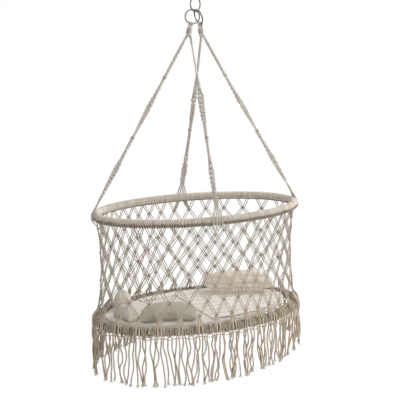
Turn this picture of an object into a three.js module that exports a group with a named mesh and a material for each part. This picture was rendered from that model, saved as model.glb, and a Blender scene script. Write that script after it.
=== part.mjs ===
// Hanging baby cradle: an oval knotted-cord basket between two cord-wrapped hoops, with a fringe below.
// Four cord straps gather in pairs on two steel rings, and both rings hang on a third one.
// Millimetres, +Z up, the long way of the cradle along X, its front towards -Y.
// The origin is the inner top of the hanging ring, the place where a ceiling hook carries the cradle.
import * as THREE from "three";
import { mergeVertices } from "three/addons/utils/BufferGeometryUtils.js";

const TAU = 2 * Math.PI;
const deg = Math.PI / 180;

// Clearances
const restGap = 0.3; // between pieces that touch on the real cradle
const ringSeatGap = 0.5; // between two linked rings, which slide on each other

// Steel rings
const ringOuterDiameter = 56;
const ringWireDiameter = 5;
const ringSteps = 28;
const ringSides = 6;
const hangingRingTurn = 30 * deg; // the way its plane runs, seen from above
const strapRingPlaceAngle = 21 * deg; // round the hanging ring, from its bottom
const strapRingLean = 20 * deg; // outwards, towards the two straps that each ring carries
const leftRingTurn = -17 * deg;
const rightRingTurn = -78 * deg;

// Cord that loops over the strap rings and is bound below them
const loopHalfWidth = 9;
const loopCordThickness = 4;
const loopSwing = 15 * deg; // the loop's bore lets it rock this far on the ring's wire
const neckLength = 34;
const neckDiameter = 14;
const neckLean = 8 * deg;
const bindingCordDiameter = 3.6;
const bindingPitch = 4.3;
const bindingTurns = 4.5;
const bindingTurnSteps = 12;
const bindingSides = 5;
const bindingStart = 6; // below the neck's top

// Hoops
const hoopLength = 800; // outside the winding
const hoopWidth = 430;
const hoopDrop = 719; // from the hanging ring's bottom wire to the upper hoop's middle
const wrappedHoopDiameter = 30;
const hoopCoreDiameter = 20;
const basketDepth = 403; // from hoop to hoop
const lowerHoopFlare = 12; // the lower hoop is larger by this all round
const quarterSteps = 9;
const hoopSides = 8;

// Side net
const columnCount = 30;
const columnsPerPanel = 2;
const rowShares = [0.132, 0.243, 0.357, 0.486, 0.618, 0.747, 0.876]; // of the basket's depth
const netThickness = 5;
const knotHalfWidth = 6.5;
const knotHalfHeight = 6.5;
const waistDepth = 16; // how far the net draws in between the hoops
const topSpread = 16; // of the two cord pairs at the upper hoop, from the knot's middle
const pairWidth = 8;
const fanShoulder = 9; // of the cord pairs where they reach the lower hoop
const fanFoot = 13; // and where they end below it
const netPhaseShare = 0.311;
const onceRoundShare = 0.061; // the columns stand closer on one side than on the other
const onceRoundStartShare = -0.063;
const twiceRoundShare = 0.218;
const twiceRoundStartShare = 0.11;

// Fringe
const fringeSections = 10;
const strandsPerColumn = 4;
const fringeLength = 200; // below the lower hoop's middle
const fringeRagged = 22; // the strands end up to this much higher
const strandDiameter = 4;
const strandSway = 7;
const foundationCordHeight = 6;

// Straps
const strapThickness = 6;
const strapWidth = 24; // at its widest knots
const strapTopSpread = 5; // of the two straps from the neck's middle
const spreadCordWidth = 5;
const spreadCords = 4;
const spreadTopLift = 48; // the strap's cords part this far above the hoop
const spreadThickness = 5;
const spreadTail = 16; // below the hoop's middle
const endSpread = 24; // of the cords over the hoop, on the straps to the cradle's two ends
const sideSpread = 44; // and on those to its front and back

// Bedding
const baseNetThickness = 4;
const baseNetDrop = 9; // below the lower hoop's middle
const baseRimWidth = 12;
const baseCellLength = 118;
const baseCellWidth = 82;
const baseCordWidth = 8;
const mattressInset = 33; // from the upper oval all round
const mattressThickness = 24;
const mattressEdgeRadius = 8;
const mattressShift = -11; // along the cradle, which brings the weight under the ceiling hook
const quiltThickness = 8;
const quiltInset = 36; // from the upper oval, round the quilt's right end
const quiltFrontAngle = -90 * deg; // round the oval, where its straight left edge starts
const quiltBackAngle = 100 * deg; // and ends
const quiltFoldAngle = 126 * deg; // where the strip bunched along its back edge ends
const quiltFoldWidth = 38;
const frontPillowSize = { length: 208, width: 120, height: 56 };
const sidePillowSize = { length: 89, width: 54, height: 50 };
const cushionSize = { length: 270, width: 68, height: 102 };
const bolsterLength = 92;
const bolsterDiameter = 64;
const frontPillowPlaceShares = [-0.385, -0.48]; // from the cradle's middle, of the oval's half sizes
const sidePillowPlaceShares = [-0.772, -0.268];
const cushionPlaceShares = [0.49, 0.325];
const bolsterPlaceShares = [-0.745, 0.27];
const frontPillowTurn = -14 * deg; // of its long way from the cradle's
const sidePillowTurn = -62 * deg;
const cushionTurn = -19 * deg;
const bolsterTurn = 80 * deg;

// Worked out from the sizes above
const ringRadius = (ringOuterDiameter - ringWireDiameter) / 2;
const wireRadius = ringWireDiameter / 2;
const halfLong = (hoopLength - wrappedHoopDiameter) / 2;
const halfWide = (hoopWidth - wrappedHoopDiameter) / 2;
const wrapRadius = wrappedHoopDiameter / 2;
const coreRadius = hoopCoreDiameter / 2;
const hangingRingZ = wireRadius - ringRadius;
const upperHoopZ = hangingRingZ - ringRadius - hoopDrop;
const lowerHoopZ = upperHoopZ - basketDepth;
const rowDrops = rowShares.map((share) => share * basketDepth);
const coverOffset = wrapRadius + restGap + netThickness / 2; // of a cord that lies on a wrapped hoop

const up = new THREE.Vector3(0, 0, 1);
const heading = (angle) => new THREE.Vector3(Math.cos(angle), Math.sin(angle), 0);

// Materials
const finish = (color, roughness, metalness) =>
  new THREE.MeshStandardMaterial({ color, roughness, metalness });
const steel = finish(0x8d8a88, 0.3, 1);
const hoopWood = finish(0xc49a62, 0.7, 0);
const hoopCord = finish(0xd9cfc2, 0.9, 0);
const netCord = finish(0xcfc4b4, 0.9, 0);
const fringeCord = finish(0xc9bba8, 0.9, 0);
const sheetCloth = finish(0xf0ece6, 0.95, 0);
const quiltCloth = finish(0xece5dc, 0.95, 0);
const pillowCloth = finish(0xaba898, 0.95, 0);
const cushionCloth = finish(0xe2d6c8, 0.95, 0);
const bolsterCloth = finish(0xcdc6b9, 0.95, 0);

const cradle = new THREE.Group();

function addPiece(name, geometry, material) {
  const mesh = new THREE.Mesh(geometry, material);
  mesh.name = name;
  cradle.add(mesh);
}

// A closed geometry from triangles of three points each, turned so that its faces point out
function closedGeometry(triangles) {
  const kept = triangles.filter(([a, b, c]) => new THREE.Triangle(a, b, c).getArea() > 0);
  const volume = kept.reduce((sum, [a, b, c]) => sum + a.dot(b.clone().cross(c)), 0);
  const points = kept.flatMap(([a, b, c]) => (volume > 0 ? [a, b, c] : [a, c, b]));
  return mergeVertices(new THREE.BufferGeometry().setFromPoints(points));
}

// A skin from ring to ring; an open run of rings gets a flat cap at each end
function loft(rings, closed = false) {
  const triangles = [];
  const runs = closed ? rings.length : rings.length - 1;
  for (let i = 0; i < runs; i++) {
    const near = rings[i];
    const far = rings[(i + 1) % rings.length];
    near.forEach((point, k) => {
      const next = (k + 1) % near.length;
      triangles.push([point, near[next], far[next]], [point, far[next], far[k]]);
    });
  }
  if (!closed) {
    const first = rings[0];
    const last = rings[rings.length - 1];
    for (let k = 1; k < first.length - 1; k++) {
      triangles.push([first[0], first[k + 1], first[k]], [last[0], last[k], last[k + 1]]);
    }
  }
  return closedGeometry(triangles);
}

// Points round a centre, in the plane of two directions
function circle(centre, radius, across, along, sides) {
  return Array.from({ length: sides }, (_, k) => {
    const angle = (k / sides) * TAU;
    return centre
      .clone()
      .addScaledVector(across, radius * Math.cos(angle))
      .addScaledVector(along, radius * Math.sin(angle));
  });
}

// A sheet of convex polygons that share whole edges, thickened to both sides of its middle surface.
// place(a, b, depth) puts a point of the flat drawing where it belongs.
function thickSheet(polygons, place, thickness) {
  const half = thickness / 2;
  const triangles = [];
  const name = (point) => point.map((value) => value.toFixed(3)).join(" ");
  const edges = new Set();
  const eachEdge = (polygon, use) =>
    polygon.forEach((point, i) => use(point, polygon[(i + 1) % polygon.length]));
  for (const polygon of polygons) {
    eachEdge(polygon, (a, b) => edges.add(name(a) + "|" + name(b)));
    const outer = polygon.map(([a, b]) => place(a, b, half));
    const inner = polygon.map(([a, b]) => place(a, b, -half));
    for (let i = 1; i < polygon.length - 1; i++) {
      triangles.push([outer[0], outer[i], outer[i + 1]], [inner[0], inner[i + 1], inner[i]]);
    }
  }
  for (const polygon of polygons) {
    eachEdge(polygon, (a, b) => {
      if (edges.has(name(b) + "|" + name(a))) return;
      const [aOut, aIn] = [place(...a, half), place(...a, -half)];
      const [bOut, bIn] = [place(...b, half), place(...b, -half)];
      triangles.push([aOut, aIn, bIn], [aOut, bIn, bOut]);
    });
  }
  return closedGeometry(triangles);
}

// The oval that both hoops and the net follow: its outward direction, a point beside it, and
// its arc length
const ovalOut = (t) =>
  new THREE.Vector3(halfWide * Math.cos(t), halfLong * Math.sin(t), 0).normalize();
const ovalPoint = (t, out, z) => {
  const point = new THREE.Vector3(halfLong * Math.cos(t), halfWide * Math.sin(t), z);
  return point.addScaledVector(ovalOut(t), out);
};
const ovalSamples = 1440;
const arcTable = [0];
for (let i = 1; i <= ovalSamples; i++) {
  const before = ovalPoint(((i - 1) / ovalSamples) * TAU, 0, 0);
  arcTable.push(arcTable[i - 1] + before.distanceTo(ovalPoint((i / ovalSamples) * TAU, 0, 0)));
}
const ovalPerimeter = arcTable[ovalSamples];

function ovalAngle(arc) {
  const turns = Math.floor(arc / ovalPerimeter);
  const wanted = arc - turns * ovalPerimeter;
  const i = arcTable.findIndex((length) => length > wanted) - 1;
  const between = (wanted - arcTable[i]) / (arcTable[i + 1] - arcTable[i]);
  return (turns + (i + between) / ovalSamples) * TAU;
}

// Steel rings: the hanging ring, and a strap ring on each side of its lowest point
function steelRing(centre, across, down) {
  const rings = Array.from({ length: ringSteps }, (_, i) => {
    const angle = (i / ringSteps) * TAU;
    const out = across.clone().multiplyScalar(Math.sin(angle)).addScaledVector(down, Math.cos(angle));
    const axis = across.clone().cross(down).normalize();
    return circle(centre.clone().addScaledVector(out, ringRadius), wireRadius, out, axis, ringSides);
  });
  return loft(rings, true);
}

const alongHangingRing = heading(hangingRingTurn);
const hangingRingCentre = new THREE.Vector3(0, 0, hangingRingZ);
addPiece("hanging_ring", steelRing(hangingRingCentre, alongHangingRing, up.clone().negate()), steel);

function strapRing(side, turn) {
  const outwards = alongHangingRing.clone().multiplyScalar(side);
  const towardsCentre = outwards
    .clone()
    .multiplyScalar(-Math.sin(strapRingPlaceAngle))
    .addScaledVector(up, Math.cos(strapRingPlaceAngle));
  const seatRadius = ringRadius - ringWireDiameter - ringSeatGap;
  const top = hangingRingCentre.clone().addScaledVector(towardsCentre, -seatRadius);
  const down = outwards
    .clone()
    .multiplyScalar(Math.sin(strapRingLean))
    .addScaledVector(up, -Math.cos(strapRingLean));
  const level = heading(turn);
  const across = level.clone().addScaledVector(down, -level.dot(down)).normalize();
  return {
    outwards,
    across,
    centre: top.clone().addScaledVector(down, ringRadius),
    bottom: top.clone().addScaledVector(down, 2 * ringRadius),
    down,
  };
}

const leftRing = strapRing(-1, leftRingTurn);
const rightRing = strapRing(1, rightRingTurn);
addPiece("strap_ring_left", steelRing(leftRing.centre, leftRing.across, leftRing.down), steel);
addPiece("strap_ring_right", steelRing(rightRing.centre, rightRing.across, rightRing.down), steel);

// Cord loop over a strap ring's bottom wire. Its bore opens out to both ends, which clears
// the bend of the wire and lets the loop rock on it.
function boreRadius(along) {
  const wireRise = (along * along) / (2 * ringRadius);
  return wireRadius + ringSeatGap + wireRise + along * Math.sin(loopSwing);
}

function cordLoop(ring) {
  const boreSharesOfWidth = [-1, -0.4, 0, 0.4, 1];
  const bore = boreSharesOfWidth.map((share) => {
    const along = share * loopHalfWidth;
    return new THREE.Vector2(boreRadius(Math.abs(along)), along);
  });
  const shoulder = boreRadius(loopHalfWidth) + loopCordThickness / 2;
  const waist = boreRadius(0) + loopCordThickness;
  const profile = [
    ...bore,
    new THREE.Vector2(shoulder, loopHalfWidth),
    new THREE.Vector2(waist, 0),
    new THREE.Vector2(shoulder, -loopHalfWidth),
    bore[0],
  ];
  const loopSegments = 14;
  const lathe = new THREE.LatheGeometry(profile.reverse(), loopSegments);
  lathe.deleteAttribute("normal").deleteAttribute("uv");
  const turn = new THREE.Quaternion().setFromUnitVectors(new THREE.Vector3(0, 1, 0), ring.across);
  const geometry = mergeVertices(lathe).applyQuaternion(turn);
  return geometry.translate(ring.bottom.x, ring.bottom.y, ring.bottom.z);
}

// The bundle of cords under the loop, and the cord bound round it
function neckOf(ring) {
  const lean = ring.outwards
    .clone()
    .multiplyScalar(Math.sin(neckLean))
    .addScaledVector(up, -Math.cos(neckLean));
  const axis = lean.addScaledVector(ring.across, -lean.dot(ring.across)).normalize();
  const loopReach = boreRadius(loopHalfWidth) + loopCordThickness / 2;
  const top = ring.bottom.clone().addScaledVector(axis, loopReach + restGap);
  const across = ring.across;
  const along = axis.clone().cross(across);
  const at = (length) => top.clone().addScaledVector(axis, length);
  return { axis, across, along, at, bottom: at(neckLength) };
}

function neckBundle(neck) {
  const radius = neckDiameter / 2;
  const neckSides = 10;
  const swellShare = 1.15;
  const ring = (length, share) =>
    circle(neck.at(length), radius * share, neck.across, neck.along, neckSides);
  return loft([ring(0, swellShare), ring(bindingStart, 1), ring(neckLength, 1)]);
}

function bindingCoil(neck) {
  const cordRadius = bindingCordDiameter / 2;
  const coilRadius = neckDiameter / 2 + restGap + cordRadius;
  const steps = bindingTurns * bindingTurnSteps;
  const top = bindingStart + cordRadius + restGap;
  const points = Array.from({ length: steps + 1 }, (_, i) => {
    const angle = (i / bindingTurnSteps) * TAU;
    return neck
      .at(top + (i / bindingTurnSteps) * bindingPitch)
      .addScaledVector(neck.across, coilRadius * Math.cos(angle))
      .addScaledVector(neck.along, coilRadius * Math.sin(angle));
  });
  const straightOn = (last, before) =>
    last.clone().add(last.clone().sub(before).setLength(bindingCordDiameter));
  points.unshift(straightOn(points[0], points[1]));
  points.push(straightOn(points[points.length - 1], points[points.length - 2]));
  const rings = points.map((point, i) => {
    const before = points[Math.max(i - 1, 0)];
    const after = points[Math.min(i + 1, points.length - 1)];
    const tangent = after.clone().sub(before).normalize();
    const out = neck.axis.clone().cross(tangent).normalize();
    return circle(point, cordRadius, out, tangent.clone().cross(out), bindingSides);
  });
  let leastGap = Infinity;
  for (let i = 0; i < points.length; i++) {
    for (let k = i + bindingTurnSteps / 2; k < points.length; k++) {
      leastGap = Math.min(leastGap, points[i].distanceTo(points[k]) - bindingCordDiameter);
    }
  }
  console.log("binding coil, least gap to itself: " + leastGap.toFixed(2) + " mm");
  return loft(rings);
}

const leftNeck = neckOf(leftRing);
const rightNeck = neckOf(rightRing);
for (const [side, ring, neck] of [["left", leftRing, leftNeck], ["right", rightRing, rightNeck]]) {
  addPiece("cord_loop_" + side, cordLoop(ring), netCord);
  addPiece("neck_bundle_" + side, neckBundle(neck), netCord);
  addPiece("neck_binding_" + side, bindingCoil(neck), netCord);
}

// Hoops: a bent core in a winding of cord. The winding has far more turns than can be built singly,
// so each quarter of it is one sleeve.
const hoopSteps = 4 * quarterSteps;
const stations = Array.from({ length: hoopSteps }, (_, i) => (i / hoopSteps) * TAU);

function hoopSection(t, out, z, radius) {
  return circle(ovalPoint(t, out, z), radius, ovalOut(t), up, hoopSides);
}

const hoopCore = (out, z) => loft(stations.map((t) => hoopSection(t, out, z, coreRadius)), true);

function windingQuarter(quarter, out, z) {
  const first = ovalAngle((quarter * ovalPerimeter) / 4 + restGap / 2);
  const last = ovalAngle(((quarter + 1) * ovalPerimeter) / 4 - restGap / 2);
  const steps = Array.from({ length: quarterSteps + 1 }, (_, i) =>
    THREE.MathUtils.clamp(((quarter * quarterSteps + i) / hoopSteps) * TAU, first, last),
  );
  const outer = steps.map((t) => hoopSection(t, out, z, wrapRadius));
  const inner = steps.map((t) => hoopSection(t, out, z, coreRadius + restGap));
  const outlines = Array.from({ length: hoopSides }, (_, k) => [
    ...outer.map((ring) => ring[k]),
    ...inner.map((ring) => ring[k]).reverse(),
  ]);
  return loft(outlines, true);
}

const hoops = [["upper", 0, upperHoopZ], ["lower", lowerHoopFlare, lowerHoopZ]];
const quarterNames = ["back_right", "back_left", "front_left", "front_right"];
for (const [name, out, z] of hoops) {
  addPiece(name + "_hoop_core", hoopCore(out, z), hoopWood);
  quarterNames.forEach((place, quarter) => {
    addPiece(name + "_hoop_winding_" + place, windingQuarter(quarter, out, z), hoopCord);
  });
}

// Side net: its drawing has the arc length round the oval as one axis and the drop below the upper
// hoop as the other. Each knot is a small diamond and each pair of cords a bar from knot to knot.
const fanDrop = basketDepth - wrapRadius / 2;
const foundationCordDrop = basketDepth + wrapRadius + restGap; // its top

function netOut(drop) {
  const share = Math.min(drop / fanDrop, 1);
  const lastRowDrop = rowDrops[rowDrops.length - 1];
  const overHoop = THREE.MathUtils.smoothstep(drop, lastRowDrop, fanDrop);
  return lowerHoopFlare * share - waistDepth * Math.sin(Math.PI * share) + coverOffset * overHoop;
}

const placeOnNet = (arc, drop, depth) =>
  ovalPoint(ovalAngle(arc), netOut(-drop) + depth, upperHoopZ + drop);

function columnArc(column) {
  const share = (column + netPhaseShare) / columnCount;
  const once = onceRoundShare * Math.sin(TAU * (share - onceRoundStartShare));
  const twice = (twiceRoundShare / 2) * Math.sin(2 * TAU * (share - twiceRoundStartShare));
  return (share + (once + twice) / TAU) * ovalPerimeter;
}

function knotCorners(row, column) {
  const arc = columnArc(column + (row % 2) / 2);
  const z = -rowDrops[row];
  return {
    arc,
    top: [arc, z + knotHalfHeight],
    bottom: [arc, z - knotHalfHeight],
    left: [arc - knotHalfWidth, z],
    right: [arc + knotHalfWidth, z],
  };
}

// The end of a cord pair that meets a knot of the next panel stops a little before it
function shortOf(end, start) {
  const length = Math.hypot(start[0] - end[0], start[1] - end[1]);
  return end.map((value, i) => value + ((start[i] - value) * restGap) / length);
}

function netPanel(firstColumn) {
  const polygons = [];
  const lastRow = rowDrops.length - 1;
  const topZ = -(wrapRadius + restGap);
  const inPanel = (column) => column >= firstColumn && column < firstColumn + columnsPerPanel;
  for (let column = firstColumn; column < firstColumn + columnsPerPanel; column++) {
    for (let row = 0; row <= lastRow; row++) {
      const knot = knotCorners(row, column);
      polygons.push([knot.right, knot.top, knot.left, knot.bottom]);
      if (row < lastRow) {
        const leftColumn = column - 1 + (row % 2);
        const left = knotCorners(row + 1, leftColumn);
        const right = knotCorners(row + 1, leftColumn + 1);
        const meetsLeft = inPanel(leftColumn)
          ? [left.top, left.right]
          : [shortOf(left.top, knot.left), shortOf(left.right, knot.bottom)];
        const meetsRight = inPanel(leftColumn + 1)
          ? [right.left, right.top]
          : [shortOf(right.left, knot.bottom), shortOf(right.top, knot.right)];
        polygons.push([knot.left, ...meetsLeft, knot.bottom]);
        polygons.push([knot.bottom, ...meetsRight, knot.right]);
      }
    }
    const first = knotCorners(0, column);
    const inner = topSpread - pairWidth;
    polygons.push([first.right, [first.arc + topSpread, topZ], [first.arc + inner, topZ], first.top]);
    polygons.push([first.top, [first.arc - inner, topZ], [first.arc - topSpread, topZ], first.left]);
    const last = knotCorners(lastRow, column);
    for (const side of [-1, 1]) {
      const [near, far] = side < 0 ? [last.left, last.bottom] : [last.bottom, last.right];
      const pairAt = (reach, z) =>
        [-1, 1].map((edge) => [last.arc + side * reach + (edge * pairWidth) / 2, z]);
      const shoulder = pairAt(fanShoulder, -fanDrop);
      const foot = pairAt(fanFoot, restGap - foundationCordDrop);
      polygons.push([near, shoulder[0], shoulder[1], far]);
      polygons.push([shoulder[0], foot[0], foot[1], shoulder[1]]);
    }
  }
  return thickSheet(polygons, placeOnNet, netThickness);
}

const twoDigits = (number) => String(number).padStart(2, "0");
for (let panel = 0; panel < columnCount / columnsPerPanel; panel++) {
  addPiece("side_net_" + twoDigits(panel + 1), netPanel(panel * columnsPerPanel), netCord);
}

// Fringe: strands that hang from a foundation cord under the lower hoop
function fringeSection(section) {
  const columns = columnCount / fringeSections;
  const first = section * columns;
  const strands = columns * strandsPerColumn;
  const cordTop = -foundationCordDrop;
  const cordBottom = cordTop - foundationCordHeight;
  const half = strandDiameter / 2;
  const cuts = [columnArc(first) + restGap / 2];
  const polygons = [];
  for (let i = 0; i < strands; i++) {
    const arc = columnArc(first + (i + 1 / 2) / strandsPerColumn);
    cuts.push(arc - half, arc + half);
    const sway = strandSway * Math.sin(i * i + section);
    const length = fringeLength - fringeRagged * Math.abs(Math.sin(3 * i + 5 * section));
    const foot = -(basketDepth + length);
    polygons.push([
      [arc - half, cordBottom],
      [arc + sway - half, foot],
      [arc + sway + half, foot],
      [arc + half, cordBottom],
    ]);
  }
  cuts.push(columnArc(first + columns) - restGap / 2);
  for (let i = 0; i < cuts.length - 1; i++) {
    polygons.push([
      [cuts[i], cordTop],
      [cuts[i], cordBottom],
      [cuts[i + 1], cordBottom],
      [cuts[i + 1], cordTop],
    ]);
  }
  return thickSheet(polygons, placeOnNet, strandDiameter);
}

for (let section = 0; section < fringeSections; section++) {
  addPiece("fringe_" + twoDigits(section + 1), fringeSection(section), fringeCord);
}

// Straps: each runs from its neck to the outside of the upper hoop as a flat band that turns on
// the way, and there its cords part, pass over the hoop and go down into the net.
// A station is a share of the way down, a share of the strap's width, and a turn away from the
// hoop's own direction.
const topWidthShare = 0.33;
const longStrapStations = [
  [0, topWidthShare, 45 * deg],
  [0.22, 0.54, 30 * deg],
  [0.34, 0.46, 70 * deg],
  [0.45, 0.92, 75 * deg],
  [0.58, 0.62, 60 * deg],
  [0.68, 0.5, 40 * deg],
  [0.8, 1, 60 * deg],
  [0.9, 0.92, 40 * deg],
  [1, 0.62, 0],
];
const frontStrapStations = [
  [0, topWidthShare, -45 * deg],
  [0.3, 0.46, -20 * deg],
  [0.36, 1, 0],
  [0.45, 0.79, 0],
  [0.56, 0.5, 20 * deg],
  [0.7, 0.42, 40 * deg],
  [0.79, 0.79, 20 * deg],
  [0.9, 0.62, 10 * deg],
  [1, 0.83, 0],
];
const backStrapStations = [
  [0, topWidthShare, -45 * deg],
  [0.28, 0.46, -20 * deg],
  [0.4, 0.83, 0],
  [0.5, 0.75, 20 * deg],
  [0.6, 0.5, 40 * deg],
  [0.75, 0.54, 20 * deg],
  [0.84, 0.83, 0],
  [0.92, 1, 0],
  [1, 0.83, 0],
];

// Where the strap's line touches the wrapped hoop, and the path of its cords over it
function overHoop(lean) {
  const drape = coverOffset;
  return (length) => {
    const bend = drape * lean;
    if (length <= 0) {
      return {
        out: drape * Math.cos(lean) + length * Math.sin(lean),
        z: drape * Math.sin(lean) - length * Math.cos(lean),
        faceOut: Math.cos(lean),
        faceUp: Math.sin(lean),
      };
    }
    if (length < bend) {
      const angle = lean - length / drape;
      return {
        out: drape * Math.cos(angle),
        z: drape * Math.sin(angle),
        faceOut: Math.cos(angle),
        faceUp: Math.sin(angle),
      };
    }
    return { out: drape, z: bend - length, faceOut: 1, faceUp: 0 };
  };
}

function strapAndCords(name, neck, t, topSide, stationTable, spreadWidth) {
  const hoopPoint = ovalPoint(t, 0, upperHoopZ);
  const outwards = ovalOut(t);
  const splay = topSide.clone().addScaledVector(neck.axis, -topSide.dot(neck.axis));
  splay.setLength(strapTopSpread);
  const top = neck.bottom.clone().add(splay).addScaledVector(neck.axis, restGap);
  const run = hoopPoint.clone().addScaledVector(outwards, wrapRadius).sub(top);
  const lean = Math.atan2(run.dot(outwards), -run.z);
  const path = overHoop(lean);
  const arcHere = arcTable[Math.round((t / TAU) * ovalSamples)];
  const placeOnHoop = (alongArc, length, depth) => {
    const { out, z, faceOut, faceUp } = path(-length);
    const level = upperHoopZ + z + depth * faceUp;
    return ovalPoint(ovalAngle(arcHere + alongArc), out + depth * faceOut, level);
  };

  // The cords over the hoop: one knot where they part, then separate cords
  const bend = coverOffset * lean;
  const lifts = [spreadTopLift, spreadTopLift - 2 * knotHalfHeight, 0, -bend, -bend - spreadTail];
  const topWidth = strapWidth * stationTable[stationTable.length - 1][1];
  const polygons = [];
  for (let i = 0; i < spreadCords; i++) {
    const edgeShares = [i / spreadCords, (i + 1) / spreadCords];
    const atKnot = edgeShares.map((share) => (share - 1 / 2) * topWidth);
    const middle = ((i + 1 / 2) / spreadCords - 1 / 2) * spreadWidth;
    const atHoop = [middle - spreadCordWidth / 2, middle + spreadCordWidth / 2];
    const widths = [atKnot, atKnot, atHoop, atHoop, atHoop];
    for (let k = 0; k < lifts.length - 1; k++) {
      const [upper, lower] = [widths[k], widths[k + 1]];
      polygons.push([
        [upper[0], lifts[k]],
        [lower[0], lifts[k + 1]],
        [lower[1], lifts[k + 1]],
        [upper[1], lifts[k]],
      ]);
    }
  }
  addPiece("strap_cords_" + name, thickSheet(polygons, placeOnHoop, spreadThickness), netCord);

  // The strap above them
  const end = placeOnHoop(0, spreadTopLift + restGap, 0);
  const direction = end.clone().sub(top).normalize();
  const tangent = up.clone().cross(outwards);
  const side = tangent.clone().addScaledVector(direction, -tangent.dot(direction)).normalize();
  const face = direction.clone().cross(side);
  const topAcross = neck.axis.clone().cross(topSide).normalize();
  if (topAcross.dot(side) < 0) topAcross.negate();
  const endFacing = outwards
    .clone()
    .multiplyScalar(Math.sin(lean))
    .addScaledVector(up, -Math.cos(lean));
  const rings = stationTable.map(([share, widthShare, turn]) => {
    const turned = side.clone().multiplyScalar(Math.cos(turn)).addScaledVector(face, Math.sin(turn));
    const frames = { 0: [topAcross, neck.axis], 1: [tangent, endFacing] };
    const [across, facing] = frames[share] ?? [turned, direction];
    const through = facing.clone().cross(across);
    const centre = top.clone().lerp(end, share);
    return [[-1, -1], [1, -1], [1, 1], [-1, 1]].map(([a, b]) =>
      centre
        .clone()
        .addScaledVector(across, (a * widthShare * strapWidth) / 2)
        .addScaledVector(through, (b * strapThickness) / 2),
    );
  });
  addPiece("strap_" + name, loft(rings), netCord);
}

const crosswise = new THREE.Vector3(-1, 1, 0).normalize();
const otherWay = crosswise.clone().negate();
strapAndCords("left", leftNeck, TAU / 2, crosswise, longStrapStations, endSpread);
strapAndCords("front", leftNeck, (3 * TAU) / 4, otherWay, frontStrapStations, sideSpread);
strapAndCords("right", rightNeck, 0, otherWay, longStrapStations, endSpread);
strapAndCords("back", rightNeck, TAU / 4, crosswise, backStrapStations, sideSpread);

// Base net inside the lower hoop: a flat net with diamond gaps
function baseNet() {
  // The hoop's section is an octagon, and the net's upper edge meets one of its flats
  const corner = wrapRadius * Math.SQRT1_2;
  const edgeDrop = baseNetDrop - baseNetThickness / 2;
  const chord = THREE.MathUtils.mapLinear(edgeDrop, 0, corner, wrapRadius, corner);
  const rimOut = lowerHoopFlare - chord - restGap;
  const outline = new THREE.Shape(
    stations.map((t) => {
      const point = ovalPoint(t, rimOut, 0);
      return new THREE.Vector2(point.x, point.y);
    }),
  );
  const inside = (x, y) => {
    const [a, b] = [halfLong + rimOut - baseRimWidth, halfWide + rimOut - baseRimWidth];
    return (x / a) ** 2 + (y / b) ** 2 < 1;
  };
  const cellHalfLength = baseCellLength / 2 - baseCordWidth;
  const cellHalfWidth = baseCellWidth / 2 - baseCordWidth;
  const reach = Math.ceil((2 * halfLong) / baseCellLength);
  for (let row = -reach; row <= reach; row++) {
    for (let cell = -reach; cell <= reach; cell++) {
      const x = (cell + (Math.abs(row) % 2) / 2) * baseCellLength;
      const y = (row * baseCellWidth) / 2;
      const corners = [
        [x - cellHalfLength, y],
        [x, y - cellHalfWidth],
        [x + cellHalfLength, y],
        [x, y + cellHalfWidth],
      ];
      if (corners.every(([a, b]) => inside(a, b))) {
        outline.holes.push(new THREE.Path(corners.map(([a, b]) => new THREE.Vector2(a, b))));
      }
    }
  }
  const flat = new THREE.ExtrudeGeometry(outline, { depth: baseNetThickness, bevelEnabled: false });
  flat.deleteAttribute("normal").deleteAttribute("uv");
  const middle = lowerHoopZ - baseNetDrop;
  return mergeVertices(flat.translate(0, 0, middle - baseNetThickness / 2));
}

addPiece("base_net", baseNet(), netCord);

// Bedding, from the bottom up
const mattressBottom = lowerHoopZ - baseNetDrop + baseNetThickness / 2 + restGap;
const mattressTop = mattressBottom + mattressThickness;
const mattressSteps = 28;

function mattress() {
  const shoulder = mattressEdgeRadius / 3;
  const levels = [
    [mattressEdgeRadius, mattressBottom],
    [shoulder, mattressBottom + shoulder],
    [0, mattressBottom + mattressEdgeRadius],
    [0, mattressTop - mattressEdgeRadius],
    [shoulder, mattressTop - shoulder],
    [mattressEdgeRadius, mattressTop],
  ];
  return loft(
    levels.map(([inset, z]) =>
      Array.from({ length: mattressSteps }, (_, i) => {
        const point = ovalPoint((i / mattressSteps) * TAU, -(mattressInset + inset), z);
        return point.setX(point.x + mattressShift);
      }),
    ),
  );
}

addPiece("mattress", mattress(), sheetCloth);

// The quilt lies along the net round the right end. Its left edge runs straight across, and a
// strip of it is bunched along the back.
const quiltBottom = mattressTop + restGap;
const quiltTop = quiltBottom + quiltThickness;

function quilt() {
  const steps = 16;
  const edge = quiltThickness / 2;
  const ring = (inset, z) => {
    const stripInset = quiltInset + quiltFoldWidth - inset;
    const stripEnd = ovalPoint(quiltFoldAngle, -stripInset, z);
    const points = [ovalPoint(quiltBackAngle, -stripInset, z)];
    for (let i = 0; i <= steps; i++) {
      const t = THREE.MathUtils.lerp(quiltFrontAngle, quiltFoldAngle, i / steps);
      points.push(ovalPoint(t, -(quiltInset + inset), z));
    }
    points.push(stripEnd);
    const [leftEdge, outerEnd] = [points.slice(0, 2), points.slice(-2)];
    for (const point of [...leftEdge, ...outerEnd]) point.setX(point.x + inset);
    return points;
  };
  return loft([
    ring(edge, quiltBottom),
    ring(0, quiltBottom + edge),
    ring(edge, quiltTop),
  ]);
}

addPiece("quilt", quilt(), quiltCloth);

// A filled cushion: crowned, its long sides drawn in between the corners, flat below
const onMattress = ([long, wide]) => new THREE.Vector3(long * halfLong, wide * halfWide, 0);

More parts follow.
